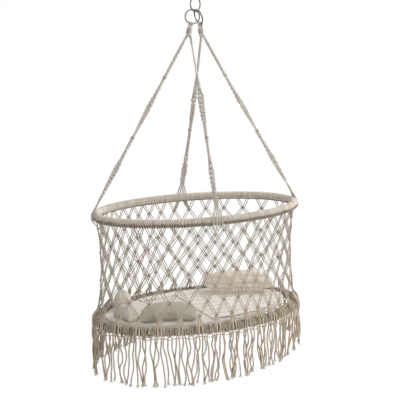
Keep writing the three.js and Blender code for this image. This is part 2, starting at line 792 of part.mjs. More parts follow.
function cushion({ length, width, height }, placeShares, turn, bottom) {
  const middle = onMattress(placeShares);
  const drawnShare = 0.08; // of the width, halfway along
  const seamShare = 0.38; // of the height
  const seam = height * seamShare;
  const stationShares = [
    [-1, 0.28, 0.9],
    [-0.86, 0.6, 1],
    [-0.5, 0.94, 1],
    [0, 1, 1],
    [0.5, 0.94, 1],
    [0.86, 0.6, 1],
    [1, 0.28, 0.9],
  ];
  const sides = 12;
  const rings = stationShares.map(([share, swell, widthShare]) => {
    const halfWidth = (width / 2) * (1 - drawnShare * (1 - share * share)) * widthShare;
    return Array.from({ length: sides }, (_, k) => {
      const angle = (k / sides) * TAU;
      const rise = Math.sin(angle) * swell * (Math.sin(angle) > 0 ? height - seam : seam);
      return new THREE.Vector3((share * length) / 2, halfWidth * Math.cos(angle), seam + rise)
        .applyAxisAngle(up, turn)
        .add(middle)
        .addScaledVector(up, bottom);
    });
  });
  return loft(rings);
}

const onSheet = mattressTop + restGap;
const onQuilt = quiltTop + restGap;
const frontPillow = cushion(frontPillowSize, frontPillowPlaceShares, frontPillowTurn, onSheet);
const sidePillow = cushion(sidePillowSize, sidePillowPlaceShares, sidePillowTurn, onSheet);
const endCushion = cushion(cushionSize, cushionPlaceShares, cushionTurn, onQuilt);
addPiece("front_pillow", frontPillow, pillowCloth);
addPiece("side_pillow", sidePillow, pillowCloth);
addPiece("end_cushion", endCushion, cushionCloth);

// A round bolster with gathered ends
function bolster() {
  const radius = bolsterDiameter / 2;
  const middle = onMattress(bolsterPlaceShares).setZ(onSheet + radius);
  const axis = heading(bolsterTurn);
  const across = up.clone().cross(axis);
  const stationShares = [[-1, 0.35], [-0.88, 0.85], [-0.6, 1], [0.6, 1], [0.88, 0.85], [1, 0.35]];
  const sides = 12;
  const rings = stationShares.map(([share, swell]) => {
    const centre = middle.clone().addScaledVector(axis, (share * bolsterLength) / 2);
    return circle(centre, radius * swell, across, up, sides);
  });
  return loft(rings);
}

addPiece("bolster", bolster(), bolsterCloth);

export default cradle;
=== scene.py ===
# %% [markdown]
# # A hanging baby cradle of knotted cotton cord
#
# The real cradle is a net of knotted cord between two hoops wound with cord. Four cord straps
# gather in pairs on steel rings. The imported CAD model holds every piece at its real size, and
# this lesson dresses it: each cord becomes a twisted tube, and the bedding becomes cloth.

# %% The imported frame
import math

import bpy
import numpy as np
from mathutils import Matrix, Vector
from mathutils.kdtree import KDTree


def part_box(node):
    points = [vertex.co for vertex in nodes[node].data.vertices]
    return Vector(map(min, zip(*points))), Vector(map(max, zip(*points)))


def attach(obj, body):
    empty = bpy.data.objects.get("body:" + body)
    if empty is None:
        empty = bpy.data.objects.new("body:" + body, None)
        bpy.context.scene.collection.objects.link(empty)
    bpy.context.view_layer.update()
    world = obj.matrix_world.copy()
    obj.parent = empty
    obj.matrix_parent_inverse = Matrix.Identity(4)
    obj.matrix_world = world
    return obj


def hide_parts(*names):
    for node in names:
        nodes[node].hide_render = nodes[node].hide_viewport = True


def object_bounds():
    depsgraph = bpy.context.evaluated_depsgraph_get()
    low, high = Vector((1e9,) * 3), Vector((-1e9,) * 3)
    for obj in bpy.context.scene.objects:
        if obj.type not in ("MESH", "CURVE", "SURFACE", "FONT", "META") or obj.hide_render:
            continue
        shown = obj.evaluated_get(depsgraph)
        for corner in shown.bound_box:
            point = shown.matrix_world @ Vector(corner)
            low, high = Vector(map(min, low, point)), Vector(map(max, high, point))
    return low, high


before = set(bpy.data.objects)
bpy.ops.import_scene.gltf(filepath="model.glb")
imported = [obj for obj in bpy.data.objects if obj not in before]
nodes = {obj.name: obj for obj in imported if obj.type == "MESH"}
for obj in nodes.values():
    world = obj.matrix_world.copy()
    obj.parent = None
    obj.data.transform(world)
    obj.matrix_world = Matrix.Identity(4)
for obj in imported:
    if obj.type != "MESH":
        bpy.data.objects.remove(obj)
cad_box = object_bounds()
rng = np.random.default_rng(11)
MM = 0.001
TAU = 2 * math.pi
print(len(nodes), "CAD nodes, box", [round(value, 3) for corner in cad_box for value in corner])

# %% [markdown]
# ## Lines of points
#
# Every cord here follows a line of points, and arrays work out all points of a piece at once. Much
# of it is the same few steps: a direction, a turn from one direction to another, a soft rise
# from 0 to 1. A small helper for each keeps the steps readable.

# %% Helpers for lines and objects
UP = np.array([0.0, 0.0, 1.0])


def unit(vectors):
    """The same directions with length 1."""
    return vectors / np.linalg.norm(vectors, axis=-1, keepdims=True)


def swung(first, second, angle):
    """Directions turned from first towards second by each angle."""
    return first * np.cos(angle)[..., None] + second * np.sin(angle)[..., None]


def round_turn(steps):
    """The angles of even steps once round."""
    return TAU * np.arange(steps) / steps


def eased(value, low, high):
    """0 below low, 1 above high, and a soft rise between."""
    share = np.clip((value - low) / (high - low), 0, 1)
    return share * share * (3 - 2 * share)


def box_of(node):
    """The lowest and the highest corner of a CAD node."""
    return np.array(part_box(node))


def in_scene(name, data):
    """A new object in the scene, made from its mesh, lamp or camera."""
    obj = bpy.data.objects.new(name, data)
    bpy.context.scene.collection.objects.link(obj)
    return obj


print("the box is", np.round(np.ptp(cad_box, axis=0) / MM), "mm")

# %% [markdown]
# ## The oval
#
# Both hoops and the net follow one oval, so its sizes are read from the CAD hoops. A table of arc
# lengths turns a distance along the hoop into a place, which is how a knotter would measure it.

# %% Sizes of the hoops, from the CAD nodes
core_low, core_high = box_of("upper_hoop_core")
lower_low, lower_high = box_of("lower_hoop_core")
winding_low, winding_high = box_of("upper_hoop_winding_back_right")
CORE_RADIUS = (core_high[2] - core_low[2]) / 2
WRAP_RADIUS = (winding_high[2] - winding_low[2]) / 2
HALF_LONG = core_high[0] - CORE_RADIUS
HALF_WIDE = core_high[1] - CORE_RADIUS
UPPER_Z = (core_high[2] + core_low[2]) / 2
LOWER_Z = (lower_high[2] + lower_low[2]) / 2
FLARE = lower_high[0] - core_high[0]
BASKET_DEPTH = UPPER_Z - LOWER_Z
print("oval", round(HALF_LONG, 4), "by", round(HALF_WIDE, 4), "depth", round(BASKET_DEPTH, 4))

# %% Places round the oval
OVAL_SAMPLES = 7200
angle_table = np.linspace(0, TAU, OVAL_SAMPLES + 1)
oval_table = np.stack([HALF_LONG * np.cos(angle_table), HALF_WIDE * np.sin(angle_table)], 1)
step_table = np.linalg.norm(np.diff(oval_table, axis=0), axis=1)
arc_table = np.concatenate([[0], np.cumsum(step_table)])
PERIMETER = arc_table[-1]


def on_oval(arc, out, drop):
    """Points at an arc length round the upper hoop, outwards of it and below it."""
    arc, out, drop = np.broadcast_arrays(arc, out, drop)
    turn = np.interp(np.mod(arc, PERIMETER), arc_table, angle_table)
    outward = unit(np.stack([HALF_WIDE * np.cos(turn), HALF_LONG * np.sin(turn)], -1))
    x = HALF_LONG * np.cos(turn) + outward[..., 0] * out
    y = HALF_WIDE * np.sin(turn) + outward[..., 1] * out
    return np.stack([x, y, UPPER_Z - drop], -1)


def outwards_at(arc):
    """The level direction away from the oval."""
    return unit(on_oval(arc, MM, 0) - on_oval(arc, 0, 0))


print("round the oval:", round(PERIMETER, 4), "m")

# %% [markdown]
# ## Colours and nodes
#
# A shader works in linear light, while a colour read off a screen is sRGB. One function turns the
# hex values into linear ones, and one small function adds a node with its settings and links.
# All materials end in the same way: a bump from their finest detail and one shader. The scale
# of a noise counts its spots in a metre.

# %% Colour and node helpers
def srgb(hex_code):
    """A colour written as sRGB hex, as the linear values that a shader takes."""
    parts = [int(hex_code[i : i + 2], 16) / 255 for i in (1, 3, 5)]
    linear = [p / 12.92 if p <= 0.04045 else ((p + 0.055) / 1.055) ** 2.4 for p in parts]
    return (*linear, 1.0)


def add(tree, kind, inputs=None, **settings):
    """A new node. Its inputs are set to values, or linked to outputs or to the first one of a node."""
    node = tree.nodes.new("ShaderNode" + kind)
    for name, value in settings.items():
        setattr(node, name, value)
    for name, value in (inputs or {}).items():
        if isinstance(value, bpy.types.Node):
            value = value.outputs[0]
        if isinstance(value, bpy.types.NodeSocket):
            tree.links.new(value, node.inputs[name])
        else:
            node.inputs[name].default_value = value
    return node


def new_material(name):
    """An empty node material and its tree."""
    material = bpy.data.materials.new(name)
    material.use_nodes = True
    material.node_tree.nodes.clear()
    return material, material.node_tree


def show(tree, shader):
    """Joins a shader to the material's output."""
    add(tree, "OutputMaterial", {"Surface": shader})


def finish(tree, colour, height, strength, depth, sockets):
    """Ends a material: its colour, its other sockets, and a bump of the height as deep as depth."""
    bump = add(tree, "Bump", {"Strength": strength, "Distance": depth, "Height": height})
    show(tree, add(tree, "BsdfPrincipled", {"Base Color": colour, "Normal": bump, **sockets}))


def tone_of(tree, spot, scale, detail, light, dark):
    """A colour that wanders softly between light and dark, as uneven dye does."""
    cloud = add(tree, "TexNoise", {"Vector": spot, "Scale": scale, "Detail": detail})
    share = add(tree, "MapRange", {0: cloud, 1: 0.35, 2: 0.65})
    return add(tree, "MixRGB", {0: share, 1: srgb(light), 2: srgb(dark)})


print("white is", srgb("#ffffff"))

# %% [markdown]
# ## Twisted cotton cord
#
# The cord is three plies of cotton yarn twisted together, about 4 mm across, undyed or bleached.
# The plies are in the mesh, and the material adds what is finer: painted shade in the grooves
# between the plies, the slant of the yarns on each ply, uneven dye along the cord and the soft sheen
# of loose fibres. The mesh carries its length along U and its turn round the cord along V, so
# the yarns can follow the cord wherever it goes. A point attribute says where the cord opens
# into loose pale yarns (above 0) and where it is painted darker towards the groove colour (below 0),
# as painted shade in knots, hitches and the gaps between turns and loops.

# %% Cotton cord material
CORD_DIAMETER = 4 * MM
PLIES = 3
YARN_SPACING = 1.3 * MM
FUZZ_SCALE = 900.0
CORD_DYE_SCALE = 38.0
GROOVE_SHADE = 0.75
COTTON_CORD = {
    "Roughness": 0.92,
    "IOR": 1.53,
    "Specular IOR Level": 0.25,
    "Sheen Weight": 0.25,
    "Sheen Roughness": 0.5,
}


def cotton_cord(name, light, dark, groove, tip):
    """Twisted cotton: light and dark hex of the yarn, groove for painted shade between plies and in
    knots, tip for its loose opened ends.
    """
    material, tree = new_material(name)
    place = add(tree, "UVMap", uv_map="along_and_round")
    parts = add(tree, "SeparateXYZ", {0: place})
    ply = add(tree, "Math", {0: parts.outputs[1], 1: PLIES * TAU}, operation="MULTIPLY")
    ridge = add(tree, "Math", {0: ply}, operation="COSINE")
    groove_shade_mask = add(tree, "MapRange", {0: ridge, 1: -0.2, 2: -1.0})
    along = add(tree, "Math", {0: parts, 1: TAU / YARN_SPACING}, operation="MULTIPLY")
    slant = add(tree, "Math", {0: along, 1: ply}, operation="ADD")
    yarn = add(tree, "Math", {0: slant}, operation="SINE")
    spot = add(tree, "TexCoord").outputs["Object"]
    fuzz = add(tree, "TexNoise", {"Vector": spot, "Scale": FUZZ_SCALE, "Detail": 2.0})
    colour = tone_of(tree, spot, CORD_DYE_SCALE, 3.0, light, dark)
    # Below 0 the point attribute darkens the cord towards the groove colour, painted shade in knots and
    # gaps; above 0 it pales the cord towards the tip colour.
    shade = add(tree, "Attribute", attribute_name="fray_and_shade")
    painted_shade_share = add(tree, "MapRange", {0: shade.outputs["Fac"], 1: 0.0, 2: -1.0})
    colour = add(tree, "MixRGB", {0: painted_shade_share, 1: colour, 2: srgb(groove)})
    frayed = add(tree, "MixRGB", {0: shade.outputs["Fac"], 1: colour, 2: srgb(tip)})
    # Painted shade: each groove between the plies is darkened towards the groove colour.
    depth = add(tree, "Math", {0: groove_shade_mask, 1: GROOVE_SHADE}, operation="MULTIPLY")
    groove_shaded = add(tree, "MixRGB", {0: depth, 1: frayed, 2: srgb(groove)})
    height = add(tree, "Math", {0: yarn, 1: fuzz}, operation="ADD")
    finish(tree, groove_shaded, height, 0.5, 0.15 * MM, COTTON_CORD)
    return material


# All five are one cotton. The upper winding's copy is paler, painted light for the light on the hoop's
# top; the lower winding's copy, shared by the loops and the lashing, and the net's copy are darker,
# painted shade for the shade they hang in.
lit_hoop_cotton = cotton_cord("lit_cotton_winding", "#faf4ea", "#f1e8da", "#b6a997", "#faf4ea")
shaded_cotton = cotton_cord("shaded_cotton_winding", "#e2d5c2", "#cabaa5", "#5f5140", "#efe5d5")
shaded_net_cotton = cotton_cord("shaded_knotted_cotton_cord", "#e4d9ca", "#ccbfae", "#6c5f50", "#f0e6d8")
strap_cotton = cotton_cord("strap_cotton_cord", "#f5f0e8", "#e6ded3", "#857a6e", "#f6f1ea")
fringe_cotton = cotton_cord("fringe_cotton_cord", "#e4d4bf", "#cbb9a2", "#7a6a56", "#faf2e4")
print("cord cottons:", sum("cotton" in material.name for material in bpy.data.materials))

# %% [markdown]
# ## Cord as a mesh
#
# Every cord is a tube along a line of points. A tube with six sides whose corners lie in turn
# further out and further in has the outline of three plies, and turning that section as it
# goes gives the twist. All cords of a piece are made at once with arrays, because a loop over
# every point would take minutes. A cord that closes on itself needs a section that comes back
# to where it began, so its directions are given, while an open cord works out its own.

# %% Tubes along lines
LAY = 18 * MM
PLY_DEPTH_SHARE = 0.2
UPRIGHT = 0.8


def level_normals(lines, tangents):
    """A direction square to each line that turns as little as it can along the way."""
    start = tangents[:, 0]
    helper = np.where(np.abs(start[:, 2:3]) > UPRIGHT, [1.0, 0.0, 0.0], UP)
    current = unit(np.cross(start, helper))
    normals = np.empty_like(lines)
    for i in range(lines.shape[1]):
        tangent = tangents[:, i]
        current = unit(current - tangent * np.sum(current * tangent, -1, keepdims=True))
        normals[:, i] = current
    return normals


def tubes(lines, radius, fray_and_shade=0.0, normals=None, sides=6, groove=PLY_DEPTH_SHARE):
    """Tubes along lines, an array of cords by points by x, y, z. Those with normals are closed."""
    cords, points = lines.shape[:2]
    closed = normals is not None
    ahead = np.roll(lines, -1, 1) - lines
    tangents = unit(ahead + np.roll(ahead, 1, 1) if closed else np.gradient(lines, axis=1))
    steps = np.linalg.norm(ahead, axis=-1)
    length = np.concatenate([np.zeros((cords, 1)), np.cumsum(steps, 1)], 1)
    normals = np.broadcast_to(normals, lines.shape) if closed else level_normals(lines, tangents)
    normals = unit(normals - tangents * np.sum(normals * tangents, -1, keepdims=True))
    binormals = np.cross(tangents, normals)
    if closed:
        turns = np.maximum(np.round(length[:, -1:] / LAY), 1)
        twist = TAU * turns * np.arange(points) / points
    else:
        twist = TAU * length[:, :-1] / LAY
    side = np.arange(sides)
    angle = TAU * side / sides + twist[..., None]
    reach = np.broadcast_to(radius, (cords, points))[..., None] * (1 - groove * (side % 2))
    outward = swung(normals[:, :, None], binormals[:, :, None], angle)
    verts = lines[:, :, None] + reach[..., None] * outward
    runs = points if closed else points - 1
    c, i, k = np.meshgrid(np.arange(cords), np.arange(runs), side, indexing="ij")
    near, far = (c * points + i) * sides, (c * points + (i + 1) % points) * sides
    k_next = (k + 1) % sides
    quads = np.stack([near + k, near + k_next, far + k_next, far + k], -1).reshape(-1, 4)
    u = length + rng.uniform(0, 1, (cords, 1))
    u_near, u_far = u[c, i], u[c, i + 1]
    v_near, v_far = k / sides, (k + 1) / sides
    uv = np.stack([u_near, v_near, u_near, v_far, u_far, v_far, u_far, v_near], -1).reshape(-1, 4, 2)
    if not closed:
        for end, way in ((0, -1), (points - 1, 1)):
            base = (np.arange(cords) * points + end) * sides
            for j in range(0, sides - 2, 2):
                quads = np.concatenate([quads, base[:, None] + [0, j + 1, j + 2, j + 3][::way]])
                uv = np.concatenate([uv, np.zeros((cords, 4, 2))])
    # Pale loose ends above 0, painted shade below 0.
    fray_and_shade_values = np.broadcast_to(np.asarray(fray_and_shade, float), (cords, points))
    return verts.reshape(-1, 3), quads, uv, np.repeat(fray_and_shade_values.ravel(), sides)


def stands_for(obj, body, slot, *replaced):
    """Puts a finished piece under its body and hides the CAD nodes that it stands for; slot is not
    used.
    """
    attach(obj, body)
    if replaced:
        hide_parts(*replaced)


def cord_piece(name, parts, material, body, slot, *replaced):
    """One finished piece from the tubes in parts."""
    verts, quads, uv, fray_and_shade = zip(*parts)
    starts = np.cumsum([0] + [len(part) for part in verts])
    quads = np.concatenate([part + start for part, start in zip(quads, starts)])
    verts, uv, fray_and_shade = (np.concatenate(part).astype(np.float32) for part in (verts, uv, fray_and_shade))
    mesh = bpy.data.meshes.new(name)
    mesh.vertices.add(len(verts))
    mesh.vertices.foreach_set("co", verts.ravel())
    mesh.loops.add(quads.size)
    mesh.loops.foreach_set("vertex_index", quads.astype(np.int32).ravel())
    mesh.polygons.add(len(quads))
    mesh.polygons.foreach_set("loop_start", np.arange(0, quads.size, 4, dtype=np.int32))
    mesh.polygons.foreach_set("use_smooth", np.ones(len(quads), bool))
    mesh.uv_layers.new(name="along_and_round").data.foreach_set("uv", uv.ravel())
    mesh.attributes.new("fray_and_shade", "FLOAT", "POINT").data.foreach_set("value", fray_and_shade)
    mesh.materials.append(material)
    mesh.update()
    mesh.validate()
    stands_for(in_scene(name, mesh), body, slot, *replaced)
    print(name, len(quads), "faces")


# %% [markdown]
# ## Camera
#
# The camera stands where the photo was taken from: nearly 3 m away, a little above the hoop, and
# turned to the cradle's left. A long lens keeps the far side of the hoop almost as large as
# the near side. The hoop's middle lies a little off the picture's middle, which the shift gives.

# %% Camera
CAMERA_TURN = math.radians(-17.34)
CAMERA_RISE = math.radians(13.65)
CAMERA_ROLL = math.radians(-0.65)
CAMERA_DISTANCE = 2.953
CAMERA_LENS = 70.4
CAMERA_SHIFT = (0.006, 0.0198)
hoop_middle = Vector((0, 0, UPPER_Z))
camera_back = Vector(
    (
        math.sin(CAMERA_TURN) * math.cos(CAMERA_RISE),
        -math.cos(CAMERA_TURN) * math.cos(CAMERA_RISE),
        math.sin(CAMERA_RISE),
    )
)
camera = in_scene("camera", bpy.data.cameras.new("camera"))
camera.location = hoop_middle + camera_back * CAMERA_DISTANCE
looking = (-camera_back).to_track_quat("-Z", "Y").to_matrix()
camera.rotation_euler = (looking @ Matrix.Rotation(CAMERA_ROLL, 3, "Z")).to_euler()
camera.data.lens = CAMERA_LENS
camera.data.shift_x, camera.data.shift_y = CAMERA_SHIFT
bpy.context.scene.camera = camera
print("camera at", [round(value, 3) for value in camera.location])

# %% [markdown]
# ## Windings of the hoops
#
# Each hoop is a bent wooden core wound closely with one cord, hundreds of turns. A helix round the
# oval follows that winding turn by turn. Its pitch and reach wander a little, because it is
# wound by hand. Each turn also gets a random tone, mostly darker: painted shade for the shade
# between the turns.

# %% Hoop windings
WINDING_STEPS = 14
WINDING_WANDER = 0.5 * MM
WINDING_BULGE = 0.3 * MM
WANDER_COUNTS = (31, 53, 87, 120)
BULGE_COUNTS = (67, 101, 149)
CLOSE_PITCH_SHARE = 1.04
CORE_CLEARANCE = 0.2 * MM
winding_cord = (WRAP_RADIUS - CORE_RADIUS - CORE_CLEARANCE) / 2
close_pitch = 2 * winding_cord * CLOSE_PITCH_SHARE
QUARTERS = ("back_right", "back_left", "front_left", "front_right")


def waves(share, counts, amplitude):
    """A sum of slow waves that closes on itself round the hoop."""
    phases = rng.uniform(0, TAU, len(counts))
    total = sum(np.sin(TAU * count * share + phase) for count, phase in zip(counts, phases))
    return amplitude * total / len(counts)


def wound_line(out, drop, pitch, way=1, raised=0.0):
    """A line wound round a hoop, with the way out from the hoop at each of its points."""
    turns = round(PERIMETER / pitch)
    share = np.arange(turns * WINDING_STEPS) / (turns * WINDING_STEPS)
    wander = waves(share, WANDER_COUNTS, WINDING_WANDER * pitch / winding_cord)
    reach = WRAP_RADIUS - winding_cord + waves(share, BULGE_COUNTS, WINDING_BULGE) + raised
    arc = share * PERIMETER + wander
    turn = TAU * turns * share * way
    radial = swung(outwards_at(arc), UP, turn)
    return on_oval(arc, out, drop) + radial * reach[:, None], radial


def winding(hoop, out, drop, material, uneven):
    """The close winding of one hoop; the last argument is how much paler or darker a turn may be, the
    darker side being painted shade.
    """
    line, radial = wound_line(out, drop, close_pitch)
    # A random tone for each turn, mostly darker: the darker side is painted shade between turns.
    shade = np.repeat(rng.uniform(-uneven, uneven / 2, len(line) // WINDING_STEPS), WINDING_STEPS)
    tube = tubes(line[None], winding_cord, shade[None], radial[None])
    name = hoop + "_hoop_winding"
    cord_piece(name, [tube], material, "basket", "hoop_cord", *(f"{name}_{q}" for q in QUARTERS))


# The upper winding in its paler copy, painted light; the lower one in its darker copy, painted shade.
winding("upper", 0, 0, lit_hoop_cotton, 0.2)
winding("lower", FLARE, BASKET_DEPTH, shaded_cotton, 0.8)
print("turns of a winding:", round(PERIMETER / close_pitch))

# %% [markdown]
# ## How the net holds to the hoops
#
# The net hangs on the upper hoop by a row of small loops, which lie against the outer and lower side
# of the winding. Pale loops and the shaded gaps between them alternate, so every second arc is
# painted dark, as painted shade for a gap. At the lower hoop an open layer of cord lashes the net
# to the hoop: it crosses the close turns one way and then the other.

# %% Loops of the net on the upper hoop
LOOP_RADIUS = 2.3 * MM
LOOP_PITCH = 4.3 * MM
# The second tone is painted shade for the gap between two loops.
LOOP_SHADES = (0.4, -1.0)
LOOP_TURNS = (-0.04 * math.pi, -0.6 * math.pi)
LOOP_POINTS = 10
LOOP_PLACE_WANDER = 0.4 * MM
LOOP_TURN_WANDER = 0.09
loop_count = round(PERIMETER / LOOP_PITCH / 2) * 2
loop_arc = np.arange(loop_count)[:, None] * PERIMETER / loop_count
loop_arc = loop_arc + rng.normal(0, LOOP_PLACE_WANDER, (loop_count, 1))
loop_turn = np.linspace(*LOOP_TURNS, LOOP_POINTS) + rng.normal(0, LOOP_TURN_WANDER, (loop_count, 1))
loop_arc = np.broadcast_to(loop_arc, loop_turn.shape)
loop_way = swung(outwards_at(loop_arc), UP, loop_turn)
loop_lines = on_oval(loop_arc, 0, 0) + loop_way * (WRAP_RADIUS + LOOP_RADIUS / 2)
loop_shade = np.resize(LOOP_SHADES, loop_count)[:, None]
loops = [tubes(loop_lines, LOOP_RADIUS, loop_shade)]
cord_piece("upper_hoop_loops", loops, shaded_cotton, "basket", "hoop_cord")
print("loops on the upper hoop:", loop_count)

# %% Lashing of the lower hoop
LASHING_RADIUS = 1.7 * MM
LASHING_PITCHES = {1: 12.5 * MM, -1: 17 * MM}
LASHING_PALENESS = 0.45
LASHING_RISE_SHARE = 0.6
lashing_rise = winding_cord + LASHING_RADIUS * LASHING_RISE_SHARE
lashing = []
for way, pitch in LASHING_PITCHES.items():
    line, radial = wound_line(FLARE, BASKET_DEPTH, pitch, way, lashing_rise)
    lashing.append(tubes(line[None], LASHING_RADIUS, LASHING_PALENESS, radial[None]))
cord_piece("lower_hoop_lashing", lashing, shaded_cotton, "basket", "hoop_cord")

# %% [markdown]
# ## The side net's drawing
#
# The net is drawn flat: arc length round the hoop one way and drop below the hoop the other way.
# Thirty columns and seven rows of knots stand in that drawing, each row half a column aside
# from the last. The net draws in at its waist and swings out over the lower hoop.

# %% Places on the side net
COLUMNS = 30
ROW_SHARES = np.array([0.132, 0.243, 0.357, 0.486, 0.618, 0.747, 0.876])
row_drops = ROW_SHARES * BASKET_DEPTH
last_row = len(ROW_SHARES) - 1
NET_PHASE_SHARE = 0.311
ONCE_ROUND_SHARES = (0.061, -0.063)
TWICE_ROUND_SHARES = (0.218, 0.11)
WAIST = 16 * MM
HOOP_CLEARANCE = 0.3 * MM
fan_drop = BASKET_DEPTH - WRAP_RADIUS / 2
cover = WRAP_RADIUS + CORD_DIAMETER / 2 + HOOP_CLEARANCE


def column_arc(column):
    """The arc length at a column, whose spacing varies round the hoop as on the real net."""
    share = (column + NET_PHASE_SHARE) / COLUMNS
    once = ONCE_ROUND_SHARES[0] * np.sin(TAU * (share - ONCE_ROUND_SHARES[1]))
    twice = TWICE_ROUND_SHARES[0] / 2 * np.sin(2 * TAU * (share - TWICE_ROUND_SHARES[1]))
    return (share + (once + twice) / TAU) * PERIMETER


def net_out(drop):
    """How far the net stands outside the upper oval at a drop."""
    share = np.minimum(drop / fan_drop, 1)
    over = eased(drop, row_drops[last_row], fan_drop)
    return FLARE * share - WAIST * np.sin(np.pi * share) + cover * over


def on_net(arc, drop, depth=0.0):
    """Points on the net, or depth outside it."""
    return on_oval(arc, net_out(drop) + depth, drop)


def knot_place(row, column):
    """Arc and drop of a knot."""
    arc = column_arc(column + (row % 2) / 2)
    return np.stack([arc, np.full_like(arc, row_drops[row])], -1)


print("rows at", np.round(row_drops / MM), "mm below the upper hoop")

# %% [markdown]
# ## Knots and cord pairs
#
# Each knot is a square knot: two cords are tied round the two that run through it. Seen from
# the front it is two slanting bars with a small loop at each side, and the firmly held cords inside
# show as a dark line between the bars, painted dark as painted shade. Between the knots the cords
# run in pairs, a cord's width apart.

# %% Square knots
KNOT_TURN = round_turn(12)
KNOT_HALF_WIDTH = 6.2 * MM
KNOT_HALF_DEPTH = 2.9 * MM
KNOT_HEART_HALF_WIDTH = 5.58 * MM
KNOT_BAR_LIFT = 2.1 * MM
KNOT_SLANT_SHARE = 0.2
KNOT_SLANT_RANGE = (0.7, 1.3)
SIDE_LOOP_SIZE = np.array([0.9, 3.2, 2.4]) * MM
BAR_RADIUS, SIDE_LOOP_RADIUS, HEART_RADIUS = np.array([0.82, 0.8, 0.7]) * CORD_DIAMETER / 2
KNOT_BAR_SHADE = 0.2
# Painted shade: the heart of a knot is darkened for the shade between its bars.
KNOT_HEART_SHADE = -0.9


def square_knots(places):
    """Square knots at places, an array of arc and drop, as tubes."""
    arc, drop = places[:, :1], places[:, 1:]
    across, through = np.cos(KNOT_TURN), np.sin(KNOT_TURN)
    along = np.cross(UP, outwards_at(arc))
    parts = []
    tilt = rng.uniform(*KNOT_SLANT_RANGE, (len(places), 1)) * KNOT_SLANT_SHARE
    for way in (-1, 1):
        rise = way * (KNOT_BAR_LIFT + tilt * KNOT_HALF_WIDTH * across)
        bar = on_net(arc + KNOT_HALF_WIDTH * across, drop - rise, KNOT_HALF_DEPTH * through)
        parts.append(tubes(bar, BAR_RADIUS, KNOT_BAR_SHADE, UP))
        beside = way * (KNOT_HEART_HALF_WIDTH + SIDE_LOOP_SIZE[0] * across)
        loop = on_net(arc + beside, drop - SIDE_LOOP_SIZE[1] * through, SIDE_LOOP_SIZE[2] * across)
        parts.append(tubes(loop, SIDE_LOOP_RADIUS, KNOT_BAR_SHADE, along))
    heart = on_net(arc + KNOT_HEART_HALF_WIDTH * across, drop, KNOT_HALF_DEPTH * through)
    parts.append(tubes(heart, HEART_RADIUS, KNOT_HEART_SHADE, UP))
    return parts


# %% Pairs of cords from knot to knot
PAIR_AT_KNOT = 2.9 * MM
PAIR_BETWEEN = 4.3 * MM
PAIR_BOW = 0.7 * MM
PAIR_SWAY = 0.5 * MM
PAIR_TWIST = 0.3 * MM
KNOT_EXIT = np.array([3.2, 3.0]) * MM
CORD_STEP = 2.8 * MM
NET_CORD_RADIUS = 2.1 * MM


def cord_pairs(start, end, points, at_start=PAIR_AT_KNOT, at_end=PAIR_AT_KNOT):
    """Two cords side by side from each start to each end, arrays of arc and drop."""
    share = np.linspace(0, 1, points)
    way = end - start
    square = unit(np.stack([-way[:, 1], way[:, 0]], -1))
    middle = start[:, None] + way[:, None] * share[None, :, None]
    arch = np.sin(np.pi * share)
    apart = at_start * (1 - share) + at_end * share + (PAIR_BETWEEN - PAIR_AT_KNOT) * arch**0.5
    bow = rng.normal(0, PAIR_BOW, (len(start), 1)) * arch
    sway = rng.normal(0, PAIR_SWAY, (len(start), 1)) * arch
    parts = []
    for side in (-1, 1):
        places = middle + square[:, None] * (side * apart + sway)[..., None]
        lines = on_net(places[..., 0], places[..., 1], bow + side * PAIR_TWIST)
        parts.append(tubes(lines, NET_CORD_RADIUS))
    return parts


# %% The net, in five lengths
NET_LENGTHS = 5
TOP_PAIR_PLACE = 23 * MM
TOP_PAIR_DROP = 11 * MM
TOP_PAIR_APART = 2.4 * MM
TOP_PAIR_POINTS = 16


def net_length(columns):
    """The knots and cord pairs of some columns."""
    parts = []
    for row in range(last_row + 1):
        here = knot_place(row, columns)
        parts += square_knots(here)
        if row == last_row:
            continue
        for side in (0, 1):
            there = knot_place(row + 1, columns - 1 + row % 2 + side)
            way = 2 * side - 1
            shift = np.array([way * KNOT_EXIT[0], KNOT_EXIT[1]])
            points = int(np.linalg.norm((there - here)[0]) / CORD_STEP)
            parts += cord_pairs(here + shift, there - shift, points)
    first = knot_place(0, columns)
    for way in (-1, 1):
        top = np.stack([first[:, 0] + way * TOP_PAIR_PLACE, np.full(len(first), TOP_PAIR_DROP)], -1)
        shift = np.array([way * KNOT_EXIT[0], -KNOT_EXIT[1]])
        parts += cord_pairs(top, first + shift, TOP_PAIR_POINTS, at_start=TOP_PAIR_APART)
    return parts


columns_of_lengths = np.arange(COLUMNS).reshape(NET_LENGTHS, -1)
for number, columns in enumerate(columns_of_lengths):
    panels = (f"side_net_{3 * number + panel:02d}" for panel in (1, 2, 3))
    cord_piece(f"side_net_{number + 1}", net_length(columns), shaded_net_cotton, "basket", "net_cord", *panels)

# %% [markdown]
# ## Fans and fringe
#
# From the last row of knots four cords fan out over the lower hoop. The middle two hang on as
# fringe, and the outer two end at the cord below the hoop. Between the fans a doubled cord is
# looped over that cord and both its legs hang, with single strands beside them. All keep the
# waves of the knots that they were tied in. Their ends lean together in twos and threes, and
# at the left end of the cradle a whole bundle gathers. Each end frays into a small brush.

